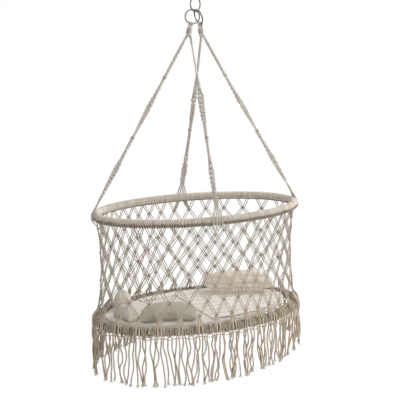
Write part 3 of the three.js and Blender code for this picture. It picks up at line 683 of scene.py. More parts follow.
# %% Feet and lengths of the strands
STRANDS = 4
FAN_FEET = np.array([-15.0, 15.0, -6.5, 6.5]) * MM
FAN_TOPS = np.array([-4.2, 4.2, -1.5, 1.5]) * MM
STRAND_FEET = np.array([-6.5, 6.5, -9.5, 9.5]) * MM
STRAND_PLACES = (0, 0, 0.5, 0.5)
SINGLE_PLACES = (0.22, 0.79)
FOOT_WANDER = 1.5 * MM
FRINGE_LENGTH = 196 * MM
RIGHT_SHORTER = 40 * MM
BACK_SHORTER = 14 * MM
CUT_WANDER = (-8, 3)
each_column = np.arange(COLUMNS)[:, None]
grouped_feet = column_arc(each_column + np.array(STRAND_PLACES)) + STRAND_FEET
single_feet = column_arc(each_column + np.array(SINGLE_PLACES))
strand_foot = np.concatenate([grouped_feet.ravel(), single_feet.ravel()])
grouped_count, strand_count = grouped_feet.size, len(strand_foot)
strand_foot = strand_foot + rng.normal(0, FOOT_WANDER, strand_count)
foot_turn = np.interp(np.mod(strand_foot, PERIMETER), arc_table, angle_table)
strand_length = (
    FRINGE_LENGTH
    - RIGHT_SHORTER * np.maximum(np.cos(foot_turn), 0) ** 1.5
    - BACK_SHORTER * np.maximum(np.sin(foot_turn), 0)
    + rng.uniform(*CUT_WANDER, strand_count) * MM
)
print("fringe from", round(strand_length.min() / MM), "to", round(strand_length.max() / MM), "mm")

# %% Groups of strands that lean together
GROUP_SIZES = (1, 1, 2, 2, 3)
GROUP_SPACING = 5.5 * MM
GROUP_WANDER = 6 * MM
STRAND_WANDER = 9 * MM
BUNDLE_TURN = math.radians(182)
BUNDLE_HALF_TURN = math.radians(12)
BUNDLE_SPACING = 4.6 * MM
LATE_GATHER, EARLY_GATHER = 1.4, 0.35
strand_pull = rng.normal(0, STRAND_WANDER, strand_count)
strand_gather = np.full(strand_count, LATE_GATHER)


def lean_together(strands, goal, spacing):
    """Lets the ends of some strands hang side by side round a goal."""
    places = (np.arange(len(strands)) - (len(strands) - 1) / 2) * spacing
    strand_pull[strands] = goal + places - strand_foot[strands]


first = 0
while first < grouped_count:
    group = np.arange(first, min(first + rng.choice(GROUP_SIZES), grouped_count))
    lean_together(group, strand_foot[group].mean() + rng.normal(0, GROUP_WANDER), GROUP_SPACING)
    first = group[-1] + 1
bundle = np.flatnonzero(np.abs(np.mod(foot_turn, TAU) - BUNDLE_TURN) < BUNDLE_HALF_TURN)
bundle = bundle[np.argsort(strand_foot[bundle])]
lean_together(bundle, strand_foot[bundle].mean(), BUNDLE_SPACING)
strand_gather[bundle] = EARLY_GATHER
print("strands in the bundle:", len(bundle))

# %% Lines of the fans and strands
FRINGE_POINTS = 72
FAN_POINTS = 20
FAN_CURVE = 0.8
FAN_INSET = 1.5 * MM
WAVES = (1.5, 6.5)
WAVELENGTHS = (100, 210)
CURLS = (0.2, 1.2)
SWINGS = (1, 6)
CURL_SHARE, SWING_SHARE = 0.4, 1.3
STIFF_LENGTH = 40 * MM
ARCH_HEIGHT = 7 * MM
ARCH_POINTS = 9
STRAND_DROP = 3 * MM
hoop_foot = BASKET_DEPTH + WRAP_RADIUS
strand_top = hoop_foot + STRAND_DROP
knot_foot = row_drops[last_row] + KNOT_EXIT[1]


def fan_lines(columns):
    """The four cords of each fan, from the last knots over the hoop to just below it."""
    drop = np.linspace(knot_foot, strand_top, FAN_POINTS)
    fan = np.clip((drop - knot_foot) / (fan_drop - knot_foot), 0, 1)
    top, foot = FAN_TOPS[:, None], FAN_FEET[:, None]
    arc = column_arc(columns)[:, None, None] + top + (foot - top) * fan**FAN_CURVE
    return on_net(arc, drop, -FAN_INSET * (1 - fan))


def hanging_lines(strands):
    """The hanging part of some strands."""

    def each(span):
        """One draw within a span for each strand, in millimetres."""
        return rng.uniform(*span, (len(strands), 1)) * MM

    share = np.linspace(0, 1, FRINGE_POINTS)
    end = BASKET_DEPTH + strand_length[strands, None]
    drop = strand_top + (end - strand_top) * share
    below = drop - hoop_foot
    ramp = np.minimum(below / STIFF_LENGTH, 1)
    wave, wavelength = each(WAVES), each(WAVELENGTHS)
    phase = rng.uniform(0, TAU, (len(strands), 1))
    curl, swing = each(CURLS), each(SWINGS)
    turn = TAU * below / wavelength
    sway = wave * np.sin(turn + phase) + curl * np.sin(turn / CURL_SHARE + 2 * phase)
    pull = strand_pull[strands, None] * share ** strand_gather[strands, None]
    arc = strand_foot[strands, None] + pull + sway * ramp
    return on_net(arc, drop, swing * np.sin(turn / SWING_SHARE - phase) * ramp)


def loop_arches(left, right):
    """The bends that join the legs of each doubled cord over the cord below the hoop."""
    turn = np.linspace(0, math.pi, ARCH_POINTS)[None, 1:-1]
    middle, half = (left + right)[:, None] / 2, (right - left)[:, None] / 2
    return middle + swung(-half, ARCH_HEIGHT * UP, turn)


# %% Brush ends
FRAY_LENGTH = 15 * MM
BRUSH_FIBRES = 20
FIBRE_RADIUS = 1.1 * MM
FIBRE_POINTS = 5
FIBRE_LENGTHS = (0.6, 1.0)
FIBRE_LEANS = (0.15, 0.6)
FIBRE_SPREAD = 1.3 * MM
FIBRE_CURVE = 1.5
BRUSH_ROOT = 3 * MM


def brushes(ends, ways):
    """Short fine yarns that splay from the cut end of each strand."""
    count = len(ends) * BRUSH_FIBRES
    root = np.repeat(ends, BRUSH_FIBRES, 0)[:, None]
    way = np.repeat(ways, BRUSH_FIBRES, 0)
    splay = rng.normal(0, 1, (count, 3))
    splay = unit(splay - way * np.sum(splay * way, -1, keepdims=True))[:, None]
    way = way[:, None]
    share = np.linspace(0, 1, FIBRE_POINTS)
    reach = rng.uniform(*FIBRE_LENGTHS, (count, 1, 1)) * FRAY_LENGTH
    lean = rng.uniform(*FIBRE_LEANS, (count, 1, 1))
    run = way * share[:, None] + splay * lean * share[:, None] ** FIBRE_CURVE
    lines = root - way * BRUSH_ROOT + splay * FIBRE_SPREAD + run * reach
    return tubes(lines, FIBRE_RADIUS * (1 - share / 2), 1.0, sides=4, groove=0.0)


# %% The fringe, in five lengths
FRINGE_RADIUS = 3.2 * MM
JOINED_POINTS = 9


def fringe_length(columns):
    """Fans, hanging strands, loops and brushes of some columns."""
    strands = columns[:, None] * STRANDS + np.arange(STRANDS)
    hanging = hanging_lines(strands.ravel()).reshape(len(columns), STRANDS, FRINGE_POINTS, 3)
    fans = fan_lines(columns)
    ease = np.linspace(1, 0, JOINED_POINTS)[:, None] ** 2
    joined = []
    for k in (0, 1):
        whole = np.concatenate([fans[:, 2 + k, :-1], hanging[:, k]], axis=1)
        gap = fans[:, 2 + k, -1:] - hanging[:, k, :1]
        whole[:, FAN_POINTS - 1 : FAN_POINTS - 1 + JOINED_POINTS] += gap * ease
        joined.append(whole)
    arches = loop_arches(hanging[:, 2, 0], hanging[:, 3, 0])
    loops = np.concatenate([hanging[:, 2, ::-1], arches, hanging[:, 3]], axis=1)
    parts = [tubes(fans[:, :2].reshape(-1, FAN_POINTS, 3), CORD_DIAMETER / 2)]
    parts += [tubes(lines, FRINGE_RADIUS) for lines in (np.concatenate(joined), loops)]
    places = columns[:, None] * len(SINGLE_PLACES) + np.arange(len(SINGLE_PLACES))
    single = hanging_lines(grouped_count + places.ravel())
    parts.append(tubes(single, FRINGE_RADIUS))
    hanging = np.concatenate([hanging.reshape(-1, FRINGE_POINTS, 3), single])
    parts.append(brushes(hanging[:, -1], unit(hanging[:, -1] - hanging[:, -3])))
    return parts


for number, columns in enumerate(columns_of_lengths):
    sections = (f"fringe_{2 * number + section:02d}" for section in (1, 2))
    parts = fringe_length(columns)
    cord_piece(f"fringe_{number + 1}", parts, fringe_cotton, "basket", "fringe_cord", *sections)

# %% [markdown]
# ## Cord below the lower hoop
#
# One thin cord runs round below the lower hoop, in front of one strand and behind the next, and
# keeps the fans from sliding. It sags a little between the fans.

# %% Foundation cord
FOUNDATION_RADIUS = 2 * MM
FOUNDATION_STEPS = 24
FOUNDATION_DROP = 5 * MM
FOUNDATION_SAG = 3 * MM
FOUNDATION_WEAVE = 2.6 * MM
place = np.arange(COLUMNS * FOUNDATION_STEPS) / FOUNDATION_STEPS
drop = hoop_foot + FOUNDATION_DROP - FOUNDATION_SAG * np.cos(TAU * place)
line = on_net(column_arc(place), drop, FOUNDATION_WEAVE * np.cos(TAU * 2 * place))
foundation = [tubes(line[None], FOUNDATION_RADIUS, normals=UP)]
cord_piece("foundation_cord", foundation, fringe_cotton, "basket", "fringe_cord")

# %% [markdown]
# ## Steel rings
#
# The rings are bent from 5 mm steel wire, welded and nickel plated. Drawing the wire through a die
# leaves faint lines along it, and plating gives it a bright but not mirror-like surface. Each
# ring keeps a small swelling where it is welded. A round tube along a circle is all it takes,
# and its place and size are read from the CAD ring.

# %% Plated steel wire
DRAWN_LINES = (60.0, 26.0, 1.0)
PLATING_CLOUD_SCALE = 120.0
plated_steel, tree = new_material("nickel_plated_steel_wire")
place = add(tree, "UVMap", uv_map="along_and_round")
stretch = add(tree, "Mapping", {"Vector": place, "Scale": DRAWN_LINES})
drawn = add(tree, "TexNoise", {"Vector": stretch, "Scale": 1.0, "Detail": 4.0})
spot = add(tree, "TexCoord").outputs["Object"]
cloud = add(tree, "TexNoise", {"Vector": spot, "Scale": PLATING_CLOUD_SCALE, "Detail": 3.0})
tone = add(tree, "MixRGB", {0: cloud, 1: srgb("#8e8a87"), 2: srgb("#6d6966")})
gloss = add(tree, "MapRange", {0: cloud, 1: 0.3, 2: 0.7, 3: 0.2, 4: 0.38})
finish(tree, tone, drawn, 0.25, 0.05 * MM, {"Metallic": 1.0, "Roughness": gloss})
print(plated_steel.name, "ready")

# %% Rings
RING_STEPS = 120
WELD_SWELL_SHARE = 0.22
WELD_WIDTH = 0.09


def numbers_of(items, name, width=3):
    """A value of each item of a mesh, such as the place of each point, as an array."""
    values = np.empty(len(items) * width, np.float32)
    items.foreach_get(name, values)
    return values.reshape(-1, width)


def points_of(mesh):
    """The places of a mesh's points, in metres."""
    return numbers_of(mesh.vertices, "co").astype(float)


def corners_of(node):
    """The different corner points of a CAD node, in metres."""
    return np.unique(np.round(points_of(nodes[node].data), 6), axis=0)


def ring_facts(node):
    """Middle, square direction, radius and wire radius of a CAD ring."""
    points = corners_of(node)
    middle = points.mean(0)
    flat = points - middle
    square = np.linalg.svd(flat)[2][2]
    reach = np.linalg.norm(flat - np.outer(flat @ square, square), axis=1)
    return middle, square, (reach.max() + reach.min()) / 2, (reach.max() - reach.min()) / 2


def steel_ring(node, body, weld_at):
    """One ring of wire with its weld at an angle round it."""
    middle, square, radius, wire = ring_facts(node)
    down = unit(-UP + square * square[2])
    aside = np.cross(square, down)
    angle = round_turn(RING_STEPS)
    line = middle + radius * swung(down, aside, angle)
    off = (angle - weld_at + math.pi) % TAU - math.pi
    thickness = wire * (1 + WELD_SWELL_SHARE * np.exp(-((off / WELD_WIDTH) ** 2)))
    tube = tubes(line[None], thickness[None], 0.0, square, sides=20, groove=0.0)
    cord_piece(node + "_wire", [tube], plated_steel, body, "ring_steel", node)


steel_ring("hanging_ring", "hanger", 2.2)
steel_ring("strap_ring_left", "strap_rings", 4.4)
steel_ring("strap_ring_right", "strap_rings", 1.9)

# %% [markdown]
# ## Necks
#
# The cords of two straps are folded over each strap ring, side by side. Below the ring they are
# gathered into one bundle, and another cord is bound round it. Each folded cord is one tube
# from its leg in front over the wire to its leg behind.

# %% Folded cords of a neck
NECK_CORDS = 6
NECK_CORD_RADIUS = 1.9 * MM
NECK_POINTS = 16
NECK_SPREAD = 17 * MM
NECK_FAN = math.radians(165)
NECK_GATHER = (0.0, 0.3)
NECK_START = 0.12
NECK_OVERRUN = 4 * MM
LEG_OVERRUN = 8 * MM
WIRE_CLEARANCE = 0.3 * MM
SADDLE_POINTS = 13


def neck_frame(side):
    """The wire's lowest point, its direction there, and the bundle's line below it."""
    _, square, _, wire = ring_facts("strap_ring_" + side)
    wire_point = corners_of("cord_loop_" + side).mean(0)
    bundle = corners_of("neck_bundle_" + side)
    axis = np.linalg.svd(bundle - bundle.mean(0))[2][0]
    axis = axis * -np.sign(axis[2])
    along = (bundle - bundle.mean(0)) @ axis
    top, bottom = (bundle[np.abs(along - end) < MM].mean(0) for end in (along.min(), along.max()))
    across = unit(np.cross(square, axis))
    through = np.cross(axis, across)
    radius = np.linalg.norm(bundle - top - np.outer((bundle - top) @ axis, axis), axis=1).min()
    return wire_point, wire, axis, across, through, top, bottom, radius


def folded_cords(frame_of_neck):
    """The cords that are folded over the wire, each from its front leg to the one behind."""
    wire_point, wire, axis, across, through, top, bottom, radius = frame_of_neck
    loop_radius = wire + NECK_CORD_RADIUS + WIRE_CLEARANCE
    length = np.linalg.norm(bottom - top)
    share = np.linspace(NECK_START, 1, NECK_POINTS)[:, None]
    ease = eased(share, *NECK_GATHER)
    arch = np.linspace(0, math.pi, SADDLE_POINTS)
    lines = []
    for place in (np.arange(NECK_CORDS) + 0.5) / NECK_CORDS - 0.5:
        saddle = wire_point + across * place * NECK_SPREAD
        over = saddle + loop_radius * swung(through, -axis, arch)
        legs = []
        for way in (through, -through):
            in_bundle = swung(way, across, place * NECK_FAN) * (radius - NECK_CORD_RADIUS)
            goal = top + axis * share * (length + NECK_OVERRUN) + in_bundle
            start = saddle + way * loop_radius + axis * share * (length + LEG_OVERRUN)
            legs.append(start * (1 - ease) + goal * ease)
        lines.append(np.concatenate([legs[0][::-1], over, legs[1]]))
    return tubes(np.array(lines), NECK_CORD_RADIUS)


# %% Binding of a neck
BINDING_RADIUS = 1.8 * MM
BINDING_TURNS = 4.5
BINDING_PITCH = 4.3 * MM
BINDING_START = 6 * MM
BINDING_STEPS = 20
BINDING_CLEARANCE = 0.2 * MM
TUCK_SHARE = 0.55
TUCK_TURN = 0.9
TUCK_POINTS = 8


def neck_coil(frame_of_neck):
    """The cord bound round the bundle, its end tucked under the last turn."""
    _, _, axis, across, through, top, _, radius = frame_of_neck
    turn = np.linspace(0, BINDING_TURNS * TAU, round(BINDING_TURNS * BINDING_STEPS))
    coil_radius = radius + BINDING_RADIUS + BINDING_CLEARANCE
    start = top + axis * (BINDING_START + BINDING_RADIUS)
    middle = start + axis * turn[:, None] / TAU * BINDING_PITCH
    coil = middle + coil_radius * swung(across, through, turn)
    tuck = np.linspace(1, TUCK_SHARE, TUCK_POINTS)[1:, None]
    tuck_turn = turn[-1] + np.linspace(0, TUCK_TURN, TUCK_POINTS)[1:]
    tail = middle[-1] + coil_radius * tuck * swung(across, through, tuck_turn)
    return tubes(np.concatenate([coil, tail])[None], BINDING_RADIUS)


for side in ("left", "right"):
    facts = neck_frame(side)
    covered = ("cord_loop_" + side, "neck_bundle_" + side)
    cords, coil = [folded_cords(facts)], [neck_coil(facts)]
    cord_piece("neck_cords_" + side, cords, strap_cotton, "basket", "strap_cord", *covered)
    binding = "neck_binding_" + side
    cord_piece(binding, coil, strap_cotton, "basket", "strap_cord", binding)

# %% [markdown]
# ## Straps
#
# Each strap has eight cords. They run as a twisted bundle, side by side as a flat band, or inside a
# row of square knots, which macrame calls a sennit, and a slanting ridge of hitches crosses
# some bands. Near the hoop they part in four pairs, pass over the winding and join the net.
# The CAD strap is a band whose width and turn change on the way, so its cross-sections give
# the width and turn here too. Hanging cords aren't quite straight, so a strap may bow a little.

# %% Cross-sections of a strap
STRAP_CORDS = 8
STRAP_CORD_RADIUS = 1.8 * MM
STRAP_STEP = 3 * MM
BUNDLE_LAY = 260 * MM
SENNIT_PITCH = 7.2 * MM
BOW_SHARES = (0.0, 0.3, 0.7, 1.0)
SECTION_GAP = 12 * MM


class Strap:
    """The line of a CAD strap, with its width and the way it faces at each share of its length."""

    def __init__(self, name, bow):
        points = corners_of("strap_" + name)
        self.bow = np.array(bow) * MM
        axis = np.linalg.svd(points - points.mean(0))[2][0]
        self.axis = axis * -np.sign(axis[2])
        along = (points - points.mean(0)) @ self.axis
        order = np.argsort(along)
        cuts = np.flatnonzero(np.diff(along[order]) > SECTION_GAP) + 1
        groups = np.split(points[order], cuts)
        self.centres = np.array([group.mean(0) for group in groups])
        sides = []
        for group, centre in zip(groups, self.centres):
            way = np.linalg.svd(group - centre)[2][0]
            way = way * np.abs((group - centre) @ way).max()
            sides.append(way if not sides or way @ sides[-1] >= 0 else -way)
        self.sides = np.array(sides)
        self.length = np.linalg.norm(self.centres[-1] - self.centres[0])
        self.shares = (self.centres - self.centres[0]) @ self.axis / self.length

    def face_along(self, tangent):
        """Turns the strap's sides so that they end along tangent."""
        if self.sides[-1] @ tangent < 0:
            self.sides = -self.sides

    def half_width(self, share):
        """Half the strap's width at shares of its length."""
        return np.interp(share, self.shares, np.linalg.norm(self.sides, axis=1))

    def place(self, share, across, through):
        """Points at shares of the length, across the strap and out of its face."""
        share, across, through = np.broadcast_arrays(share, across, through)
        centre = self.centres[0] + self.axis * (share * self.length)[..., None]
        centre = centre + [1.0, 0, 0] * np.interp(share, BOW_SHARES, self.bow)[..., None]
        side = np.stack([np.interp(share, self.shares, unit(self.sides)[:, i]) for i in range(3)], -1)
        side = unit(side - self.axis * (side @ self.axis)[..., None])
        face = np.cross(self.axis, side)
        return centre + side * across[..., None] + face * through[..., None]


print("strap cord spacing along a strap", STRAP_STEP / MM, "mm")

# %% Patterns of the cords in a strap
BUNDLE_HALF_DEPTH = 3.2 * MM
BAND_SPREAD = 1.12
BAND_HALF_DEPTH = 0.9 * MM
WINDOW_EDGE = 0.02
FLAT_FROM = 0.93
FLAT_EDGE = 0.03


def strap_pattern(strap, share, bands):
    """Where each cord lies across the strap and out of its face."""
    cord = np.arange(STRAP_CORDS)[:, None]
    width = strap.half_width(share) - STRAP_CORD_RADIUS
    turn = TAU * (cord / STRAP_CORDS + share * strap.length / BUNDLE_LAY)
    bundle = width * np.cos(turn), BUNDLE_HALF_DEPTH * np.sin(turn)
    side_by_side = 2 * ((cord + 0.5) / STRAP_CORDS - 0.5) * BAND_SPREAD
    flat = width * side_by_side, BAND_HALF_DEPTH * np.cos(math.pi * cord)
    weight = np.clip((share - FLAT_FROM) / FLAT_EDGE, 0, 1)
    half = WINDOW_EDGE / 2
    for low, high in bands:
        inside = eased(share, low - half, low + half) * (1 - eased(share, high - half, high + half))
        weight = np.maximum(weight, inside)
    return [in_bundle * (1 - weight) + in_flat * weight for in_bundle, in_flat in zip(bundle, flat)]


# %% Knots and ridges on a strap
BAR_TURN = round_turn(14)
BAR_DEPTH = 4.4 * MM
BAR_CLEARANCE = 0.6 * MM
BAR_TILT = 0.3
SENNIT_SHADE = 0.25
STRAP_KNOT_DEPTH = 5 * MM
STRAP_KNOT_HALF_GAP = 1.7 * MM
# Painted shade in the knots of a strap.
STRAP_KNOT_SHADE = -0.5
RIDGE_TURNS = 5
RIDGE_STEPS = 12
RIDGE_RADIUS = 2.6 * MM
RIDGE_LIFT = 1.5 * MM
# Painted shade along a ridge of hitches.
RIDGE_SHADE = -0.45


def strap_bars(strap, shares, shade, depth):
    """One slanting turn of cord round the strap at each share, leaning one way and then the other."""
    across, through = np.cos(BAR_TURN), np.sin(BAR_TURN)
    parts = []
    for i, here in enumerate(shares):
        reach = strap.half_width(here) + BAR_CLEARANCE
        tilt = (1 if i % 2 else -1) * BAR_TILT * reach * across / strap.length
        line = strap.place(here + tilt, reach * across, depth * through)
        parts.append(tubes(line[None], STRAP_CORD_RADIUS, shade, strap.axis))
    return parts


def sennit(strap, low, high):
    """Square knots one after another, between two shares."""
    count = max(round((high - low) * strap.length / SENNIT_PITCH), 2)
    return strap_bars(strap, np.linspace(low, high, count), SENNIT_SHADE, BAR_DEPTH)


def strap_knot(strap, share):
    """Two firmly pulled turns of cord, painted darker than the strap as painted shade in the knot."""
    apart = STRAP_KNOT_HALF_GAP / strap.length
    return strap_bars(strap, (share - apart, share + apart), STRAP_KNOT_SHADE, STRAP_KNOT_DEPTH)


def strap_ridge(strap, start, end):
    """A slanting row of hitches, from one share and place across to another."""
    way = np.linspace(0, 1, RIDGE_TURNS * RIDGE_STEPS)
    share, across = (first + (last - first) * way for first, last in zip(start, end))
    along = RIDGE_RADIUS * np.sin(TAU * RIDGE_TURNS * way) / strap.length
    rise = RIDGE_LIFT + RIDGE_RADIUS * np.cos(TAU * RIDGE_TURNS * way)
    line = strap.place(share + along, across * strap.half_width(share), rise)
    return [tubes(line[None], STRAP_CORD_RADIUS, RIDGE_SHADE)]


# %% From the neck over the hoop and into the net
STRAP_TAIL = 16 * MM
OVER_HOOP_LIFT = 48.3 * MM
OVER_HOOP_POINTS = 32
PARTING_SHARE = 0.9
PAIR_GAP = 3.7 * MM
NECK_ENTRY = 9 * MM
NECK_ENTRY_POINTS = 6
INTO_NET_POINTS = 12
INTO_NET_CURVE = 1.5
KNOT_ENTRY_GAP = 1.2 * MM
KNOT_ENTRY_DEPTH = 1.2 * MM
DRAPE_CLEARANCE = 0.8 * MM
drape = WRAP_RADIUS + STRAP_CORD_RADIUS + DRAPE_CLEARANCE


def into_neck(first, neck_side):
    """The first stretch of each cord, inside the binding of the neck."""
    _, _, axis, _, _, _, bottom, _ = neck_frame(neck_side)
    rise = np.linspace(1, 0, NECK_ENTRY_POINTS, endpoint=False)[None, :, None]
    inside = bottom - axis * NECK_ENTRY + (first - first.mean(0)) / 2
    return first * (1 - rise) + inside * rise


def over_hoop(here, tilt, at_end, at_hoop):
    """Down over the winding in pairs, from a strap that stands off upright by tilt."""
    bend = drape * tilt
    length = np.linspace(-OVER_HOOP_LIFT + STRAP_STEP, bend + STRAP_TAIL, OVER_HOOP_POINTS)[None]
    ease = np.clip((length + OVER_HOOP_LIFT) / (OVER_HOOP_LIFT * PARTING_SHARE), 0, 1)
    angle = np.clip(tilt - np.maximum(length, 0) / drape, 0, tilt)
    before, after = np.minimum(length, 0), np.maximum(length - bend, 0)
    out = drape * np.cos(angle) + before * math.sin(tilt)
    height = drape * np.sin(angle) - before * math.cos(tilt) - after
    return on_oval(here + at_end * (1 - ease) + at_hoop * ease, out, -height)


def into_net(here, at_hoop):
    """On from the hoop to the nearest knots of the first row."""
    cord = np.arange(STRAP_CORDS)[:, None]
    first_row = column_arc(np.arange(-1, COLUMNS + 1, dtype=float))
    offset = (first_row - here + PERIMETER / 2) % PERIMETER - PERIMETER / 2
    nearest = np.where(cord < STRAP_CORDS / 2, offset[offset < 0].max(), offset[offset > 0].min())
    goal = nearest + (cord % 4 - 1.5) * KNOT_ENTRY_GAP
    way = np.linspace(0, 1, INTO_NET_POINTS)[None, 1:]
    drop = STRAP_TAIL + (row_drops[0] - KNOT_EXIT[1] - STRAP_TAIL) * way
    depth = (drape - net_out(STRAP_TAIL)) * (1 - way) ** INTO_NET_CURVE + KNOT_ENTRY_DEPTH
    return on_net(here + at_hoop + (goal - at_hoop) * way, drop, depth)


def strap(name, turn, neck_side, spread, bands, sennits, knots, ridges=(), bow=(0, 0, 0, 0)):
    """One strap: its cords from the neck to the first knots of the net, its knots and its ridges."""
    here = np.interp(turn, angle_table, arc_table)
    outward = outwards_at(here)
    tangent = np.cross(UP, outward)
    line = Strap(name, bow)
    line.face_along(tangent)
    run = on_oval(here, WRAP_RADIUS, 0) - line.centres[0]
    tilt = math.atan2(run @ outward, -run[2])
    here = here + bow[-1] * MM * tangent[0]
    share = np.linspace(0, 1, round(line.length / STRAP_STEP))
    across, through = strap_pattern(line, share, bands)
    upper = line.place(share, across, through)
    cord = np.arange(STRAP_CORDS)[:, None]
    pair = ((cord // 2 + 0.5) / (STRAP_CORDS / 2) - 0.5) * spread
    at_hoop = pair + (cord % 2 - 0.5) * PAIR_GAP
    entry = into_neck(upper[:, :1], neck_side)
    over = over_hoop(here, tilt, across[:, -1:], at_hoop)
    whole = np.concatenate([entry, upper, over, into_net(here, at_hoop)], axis=1)
    parts = [tubes(whole, STRAP_CORD_RADIUS)]
    for low, high in sennits:
        parts += sennit(line, low, high)
    for knot in knots:
        parts += strap_knot(line, knot)
    for ridge in ridges:
        parts += strap_ridge(line, *ridge)
    covered = ("strap_" + name, "strap_cords_" + name)
    cord_piece("strap_cords_of_" + name, parts, strap_cotton, "basket", "strap_cord", *covered)


# %% The four straps
SIDE_SPREAD = 36 * MM
END_SPREAD = 44 * MM
strap(
    "left",
    math.pi,
    "left",
    SIDE_SPREAD,
    bands=((0.43, 0.6),),
    sennits=((0.05, 0.24), (0.31, 0.43), (0.62, 0.7), (0.76, 0.98)),
    knots=(0.249, 0.607),
)
strap(
    "front",
    1.5 * math.pi,
    "left",
    END_SPREAD,
    bands=((0.05, 0.22), (0.5, 0.59)),
    sennits=((0.26, 0.31), (0.36, 0.5), (0.8, 0.97)),
    knots=(0.6,),
    ridges=(((0.309, -0.3), (0.357, 1.0)),),
    bow=(4, 8, 7, 7),
)
strap(
    "right",
    0.0,
    "right",
    SIDE_SPREAD,
    bands=((0.43, 0.6),),
    sennits=((0.05, 0.24), (0.3, 0.41), (0.62, 0.88)),
    knots=(0.245, 0.61),
    ridges=(((0.89, -1.0), (0.955, 1.0)),),
    bow=(4, 0, 0, 0),
)
strap(
    "back",
    0.5 * math.pi,
    "right",
    END_SPREAD,
    bands=((0.43, 0.6), (0.84, 0.95)),
    sennits=((0.28, 0.37), (0.86, 0.91)),
    knots=(0.61,),
    ridges=(((0.374, 0.0), (0.42, 1.0)), ((0.915, -1.0), (0.97, 1.0))),
    bow=(6, 8, 5, 0),
)

# %% [markdown]
# ## Base net
#
# Below the mattress a flat net of cord pairs is stretched inside the lower hoop. It is drawn as two
# families of straight lines that cross, each line cut off by the oval, with a knot at each
# crossing.

# %% Cords of the base net
CELL = np.array([118.0, 82.0]) * MM / 2
BASE_DROP = 9.9 * MM
BASE_INSET = 11 * MM
BASE_LINES = 6
BASE_RADIUS = 1.7 * MM
BASE_WEAVE = 0.7 * MM
BASE_PAIR_HALF_GAP = 2.4 * MM
BASE_LINE_POINTS = 90
base_z = LOWER_Z - BASE_DROP
base_half = np.array([HALF_LONG, HALF_WIDE]) + FLARE - BASE_INSET


def base_line(slope, rise, offset):
    """A straight cord inside the oval: y = slope x + rise, moved aside by offset, or None."""
    rise = rise + offset * math.hypot(1, slope)
    a = 1 / base_half[0] ** 2 + slope**2 / base_half[1] ** 2
    b = 2 * slope * rise / base_half[1] ** 2
    c = rise**2 / base_half[1] ** 2 - 1
    inside = b * b - 4 * a * c
    if inside <= 0:
        return None
    x = np.linspace(-b - math.sqrt(inside), -b + math.sqrt(inside), BASE_LINE_POINTS) / (2 * a)
    weave = BASE_WEAVE * np.cos(math.pi * x / CELL[0]) * np.sign(slope)
    return np.stack([x, slope * x + rise, base_z + weave], -1)


base_parts = []
for slope in (CELL[1] / CELL[0], -CELL[1] / CELL[0]):
    for k in range(-BASE_LINES, BASE_LINES):
        for offset in (-BASE_PAIR_HALF_GAP, BASE_PAIR_HALF_GAP):
            line = base_line(slope, (2 * k + 1) * CELL[1], offset)
            if line is not None:
                base_parts.append(tubes(line[None], BASE_RADIUS))
print("cords of the base net:", len(base_parts))

# %% Knots of the base net
BASE_KNOT_SIZE = np.array([0.9, 5.6, 2.4]) * MM
BASE_KNOT_HALF_GAP = 2 * MM
BASE_KNOT_DROP = 1 * MM
BASE_KNOT_REACH = 0.94
BASE_CELLS = (7, 6)
knot_ring = np.stack([np.sin(KNOT_TURN), np.cos(KNOT_TURN), np.sin(KNOT_TURN)], -1) * BASE_KNOT_SIZE
for i in range(-BASE_CELLS[0], BASE_CELLS[0] + 1):
    for j in range(-BASE_CELLS[1], BASE_CELLS[1] + 1):
        x, y = i * CELL[0], j * CELL[1]
        if (i + j) % 2 == 0 or (x / base_half[0]) ** 2 + (y / base_half[1]) ** 2 > BASE_KNOT_REACH:
            continue
        for way in (-1, 1):
            ring = knot_ring + (x + way * BASE_KNOT_HALF_GAP, y, base_z - BASE_KNOT_DROP)
            base_parts.append(tubes(ring[None], BASE_RADIUS, 0.0, np.array([1, 0, 0])))
cord_piece("base_net_cords", base_parts, shaded_net_cotton, "basket", "net_cord", "base_net")

# %% [markdown]
# ## Bent wood of the hoops
#
# Inside each winding is a hoop of steam-bent beech. It only shows where the winding gapes, but it
# gets its grain all the same: long fibres that follow the bend and short brown ray flecks.

# %% Beech cores
FLECK_SPACING = 9 * MM
FIBRE_STRETCH = (6.0, 6.0, 90.0)
beech, tree = new_material("steam_bent_beech")
spot = add(tree, "TexCoord").outputs["Object"]
stretch = add(tree, "Mapping", {"Vector": spot, "Scale": FIBRE_STRETCH})
fibres = add(tree, "TexNoise", {"Vector": stretch, "Scale": 4.0, "Detail": 6.0})
flecks = add(tree, "TexVoronoi", {"Vector": spot, "Scale": 1 / FLECK_SPACING})
tone = add(tree, "MixRGB", {0: fibres, 1: srgb("#d3ab7d"), 2: srgb("#b98c5e")})
mask = add(tree, "MapRange", {0: flecks, 1: 0.05, 2: 0.15, 3: 0.6, 4: 0.0})
tone = add(tree, "MixRGB", {0: mask, 1: tone, 2: srgb("#8f653d")})
finish(tree, tone, fibres, 0.3, 0.2 * MM, {"Roughness": 0.62, "IOR": 1.5})
for name in ("upper_hoop_core", "lower_hoop_core"):
    core = nodes[name]
    core.data.materials.clear()
    core.data.materials.append(beech)
print("beech on both cores")

# %% [markdown]
# ## Bedding cloth
#
# The bedding is woven cotton, and the bolster linen. A plain weave is two families of threads
# that pass over and under each other, so the product of two waves gives its small squares.
# Real threads lie 0.5 mm apart, finer than a pixel, so the weave is drawn at 2.5 mm. The
# cushion's stripes are yarn-dyed lines at their real distance, and the quilt has thin grey
# lines 38 mm apart.

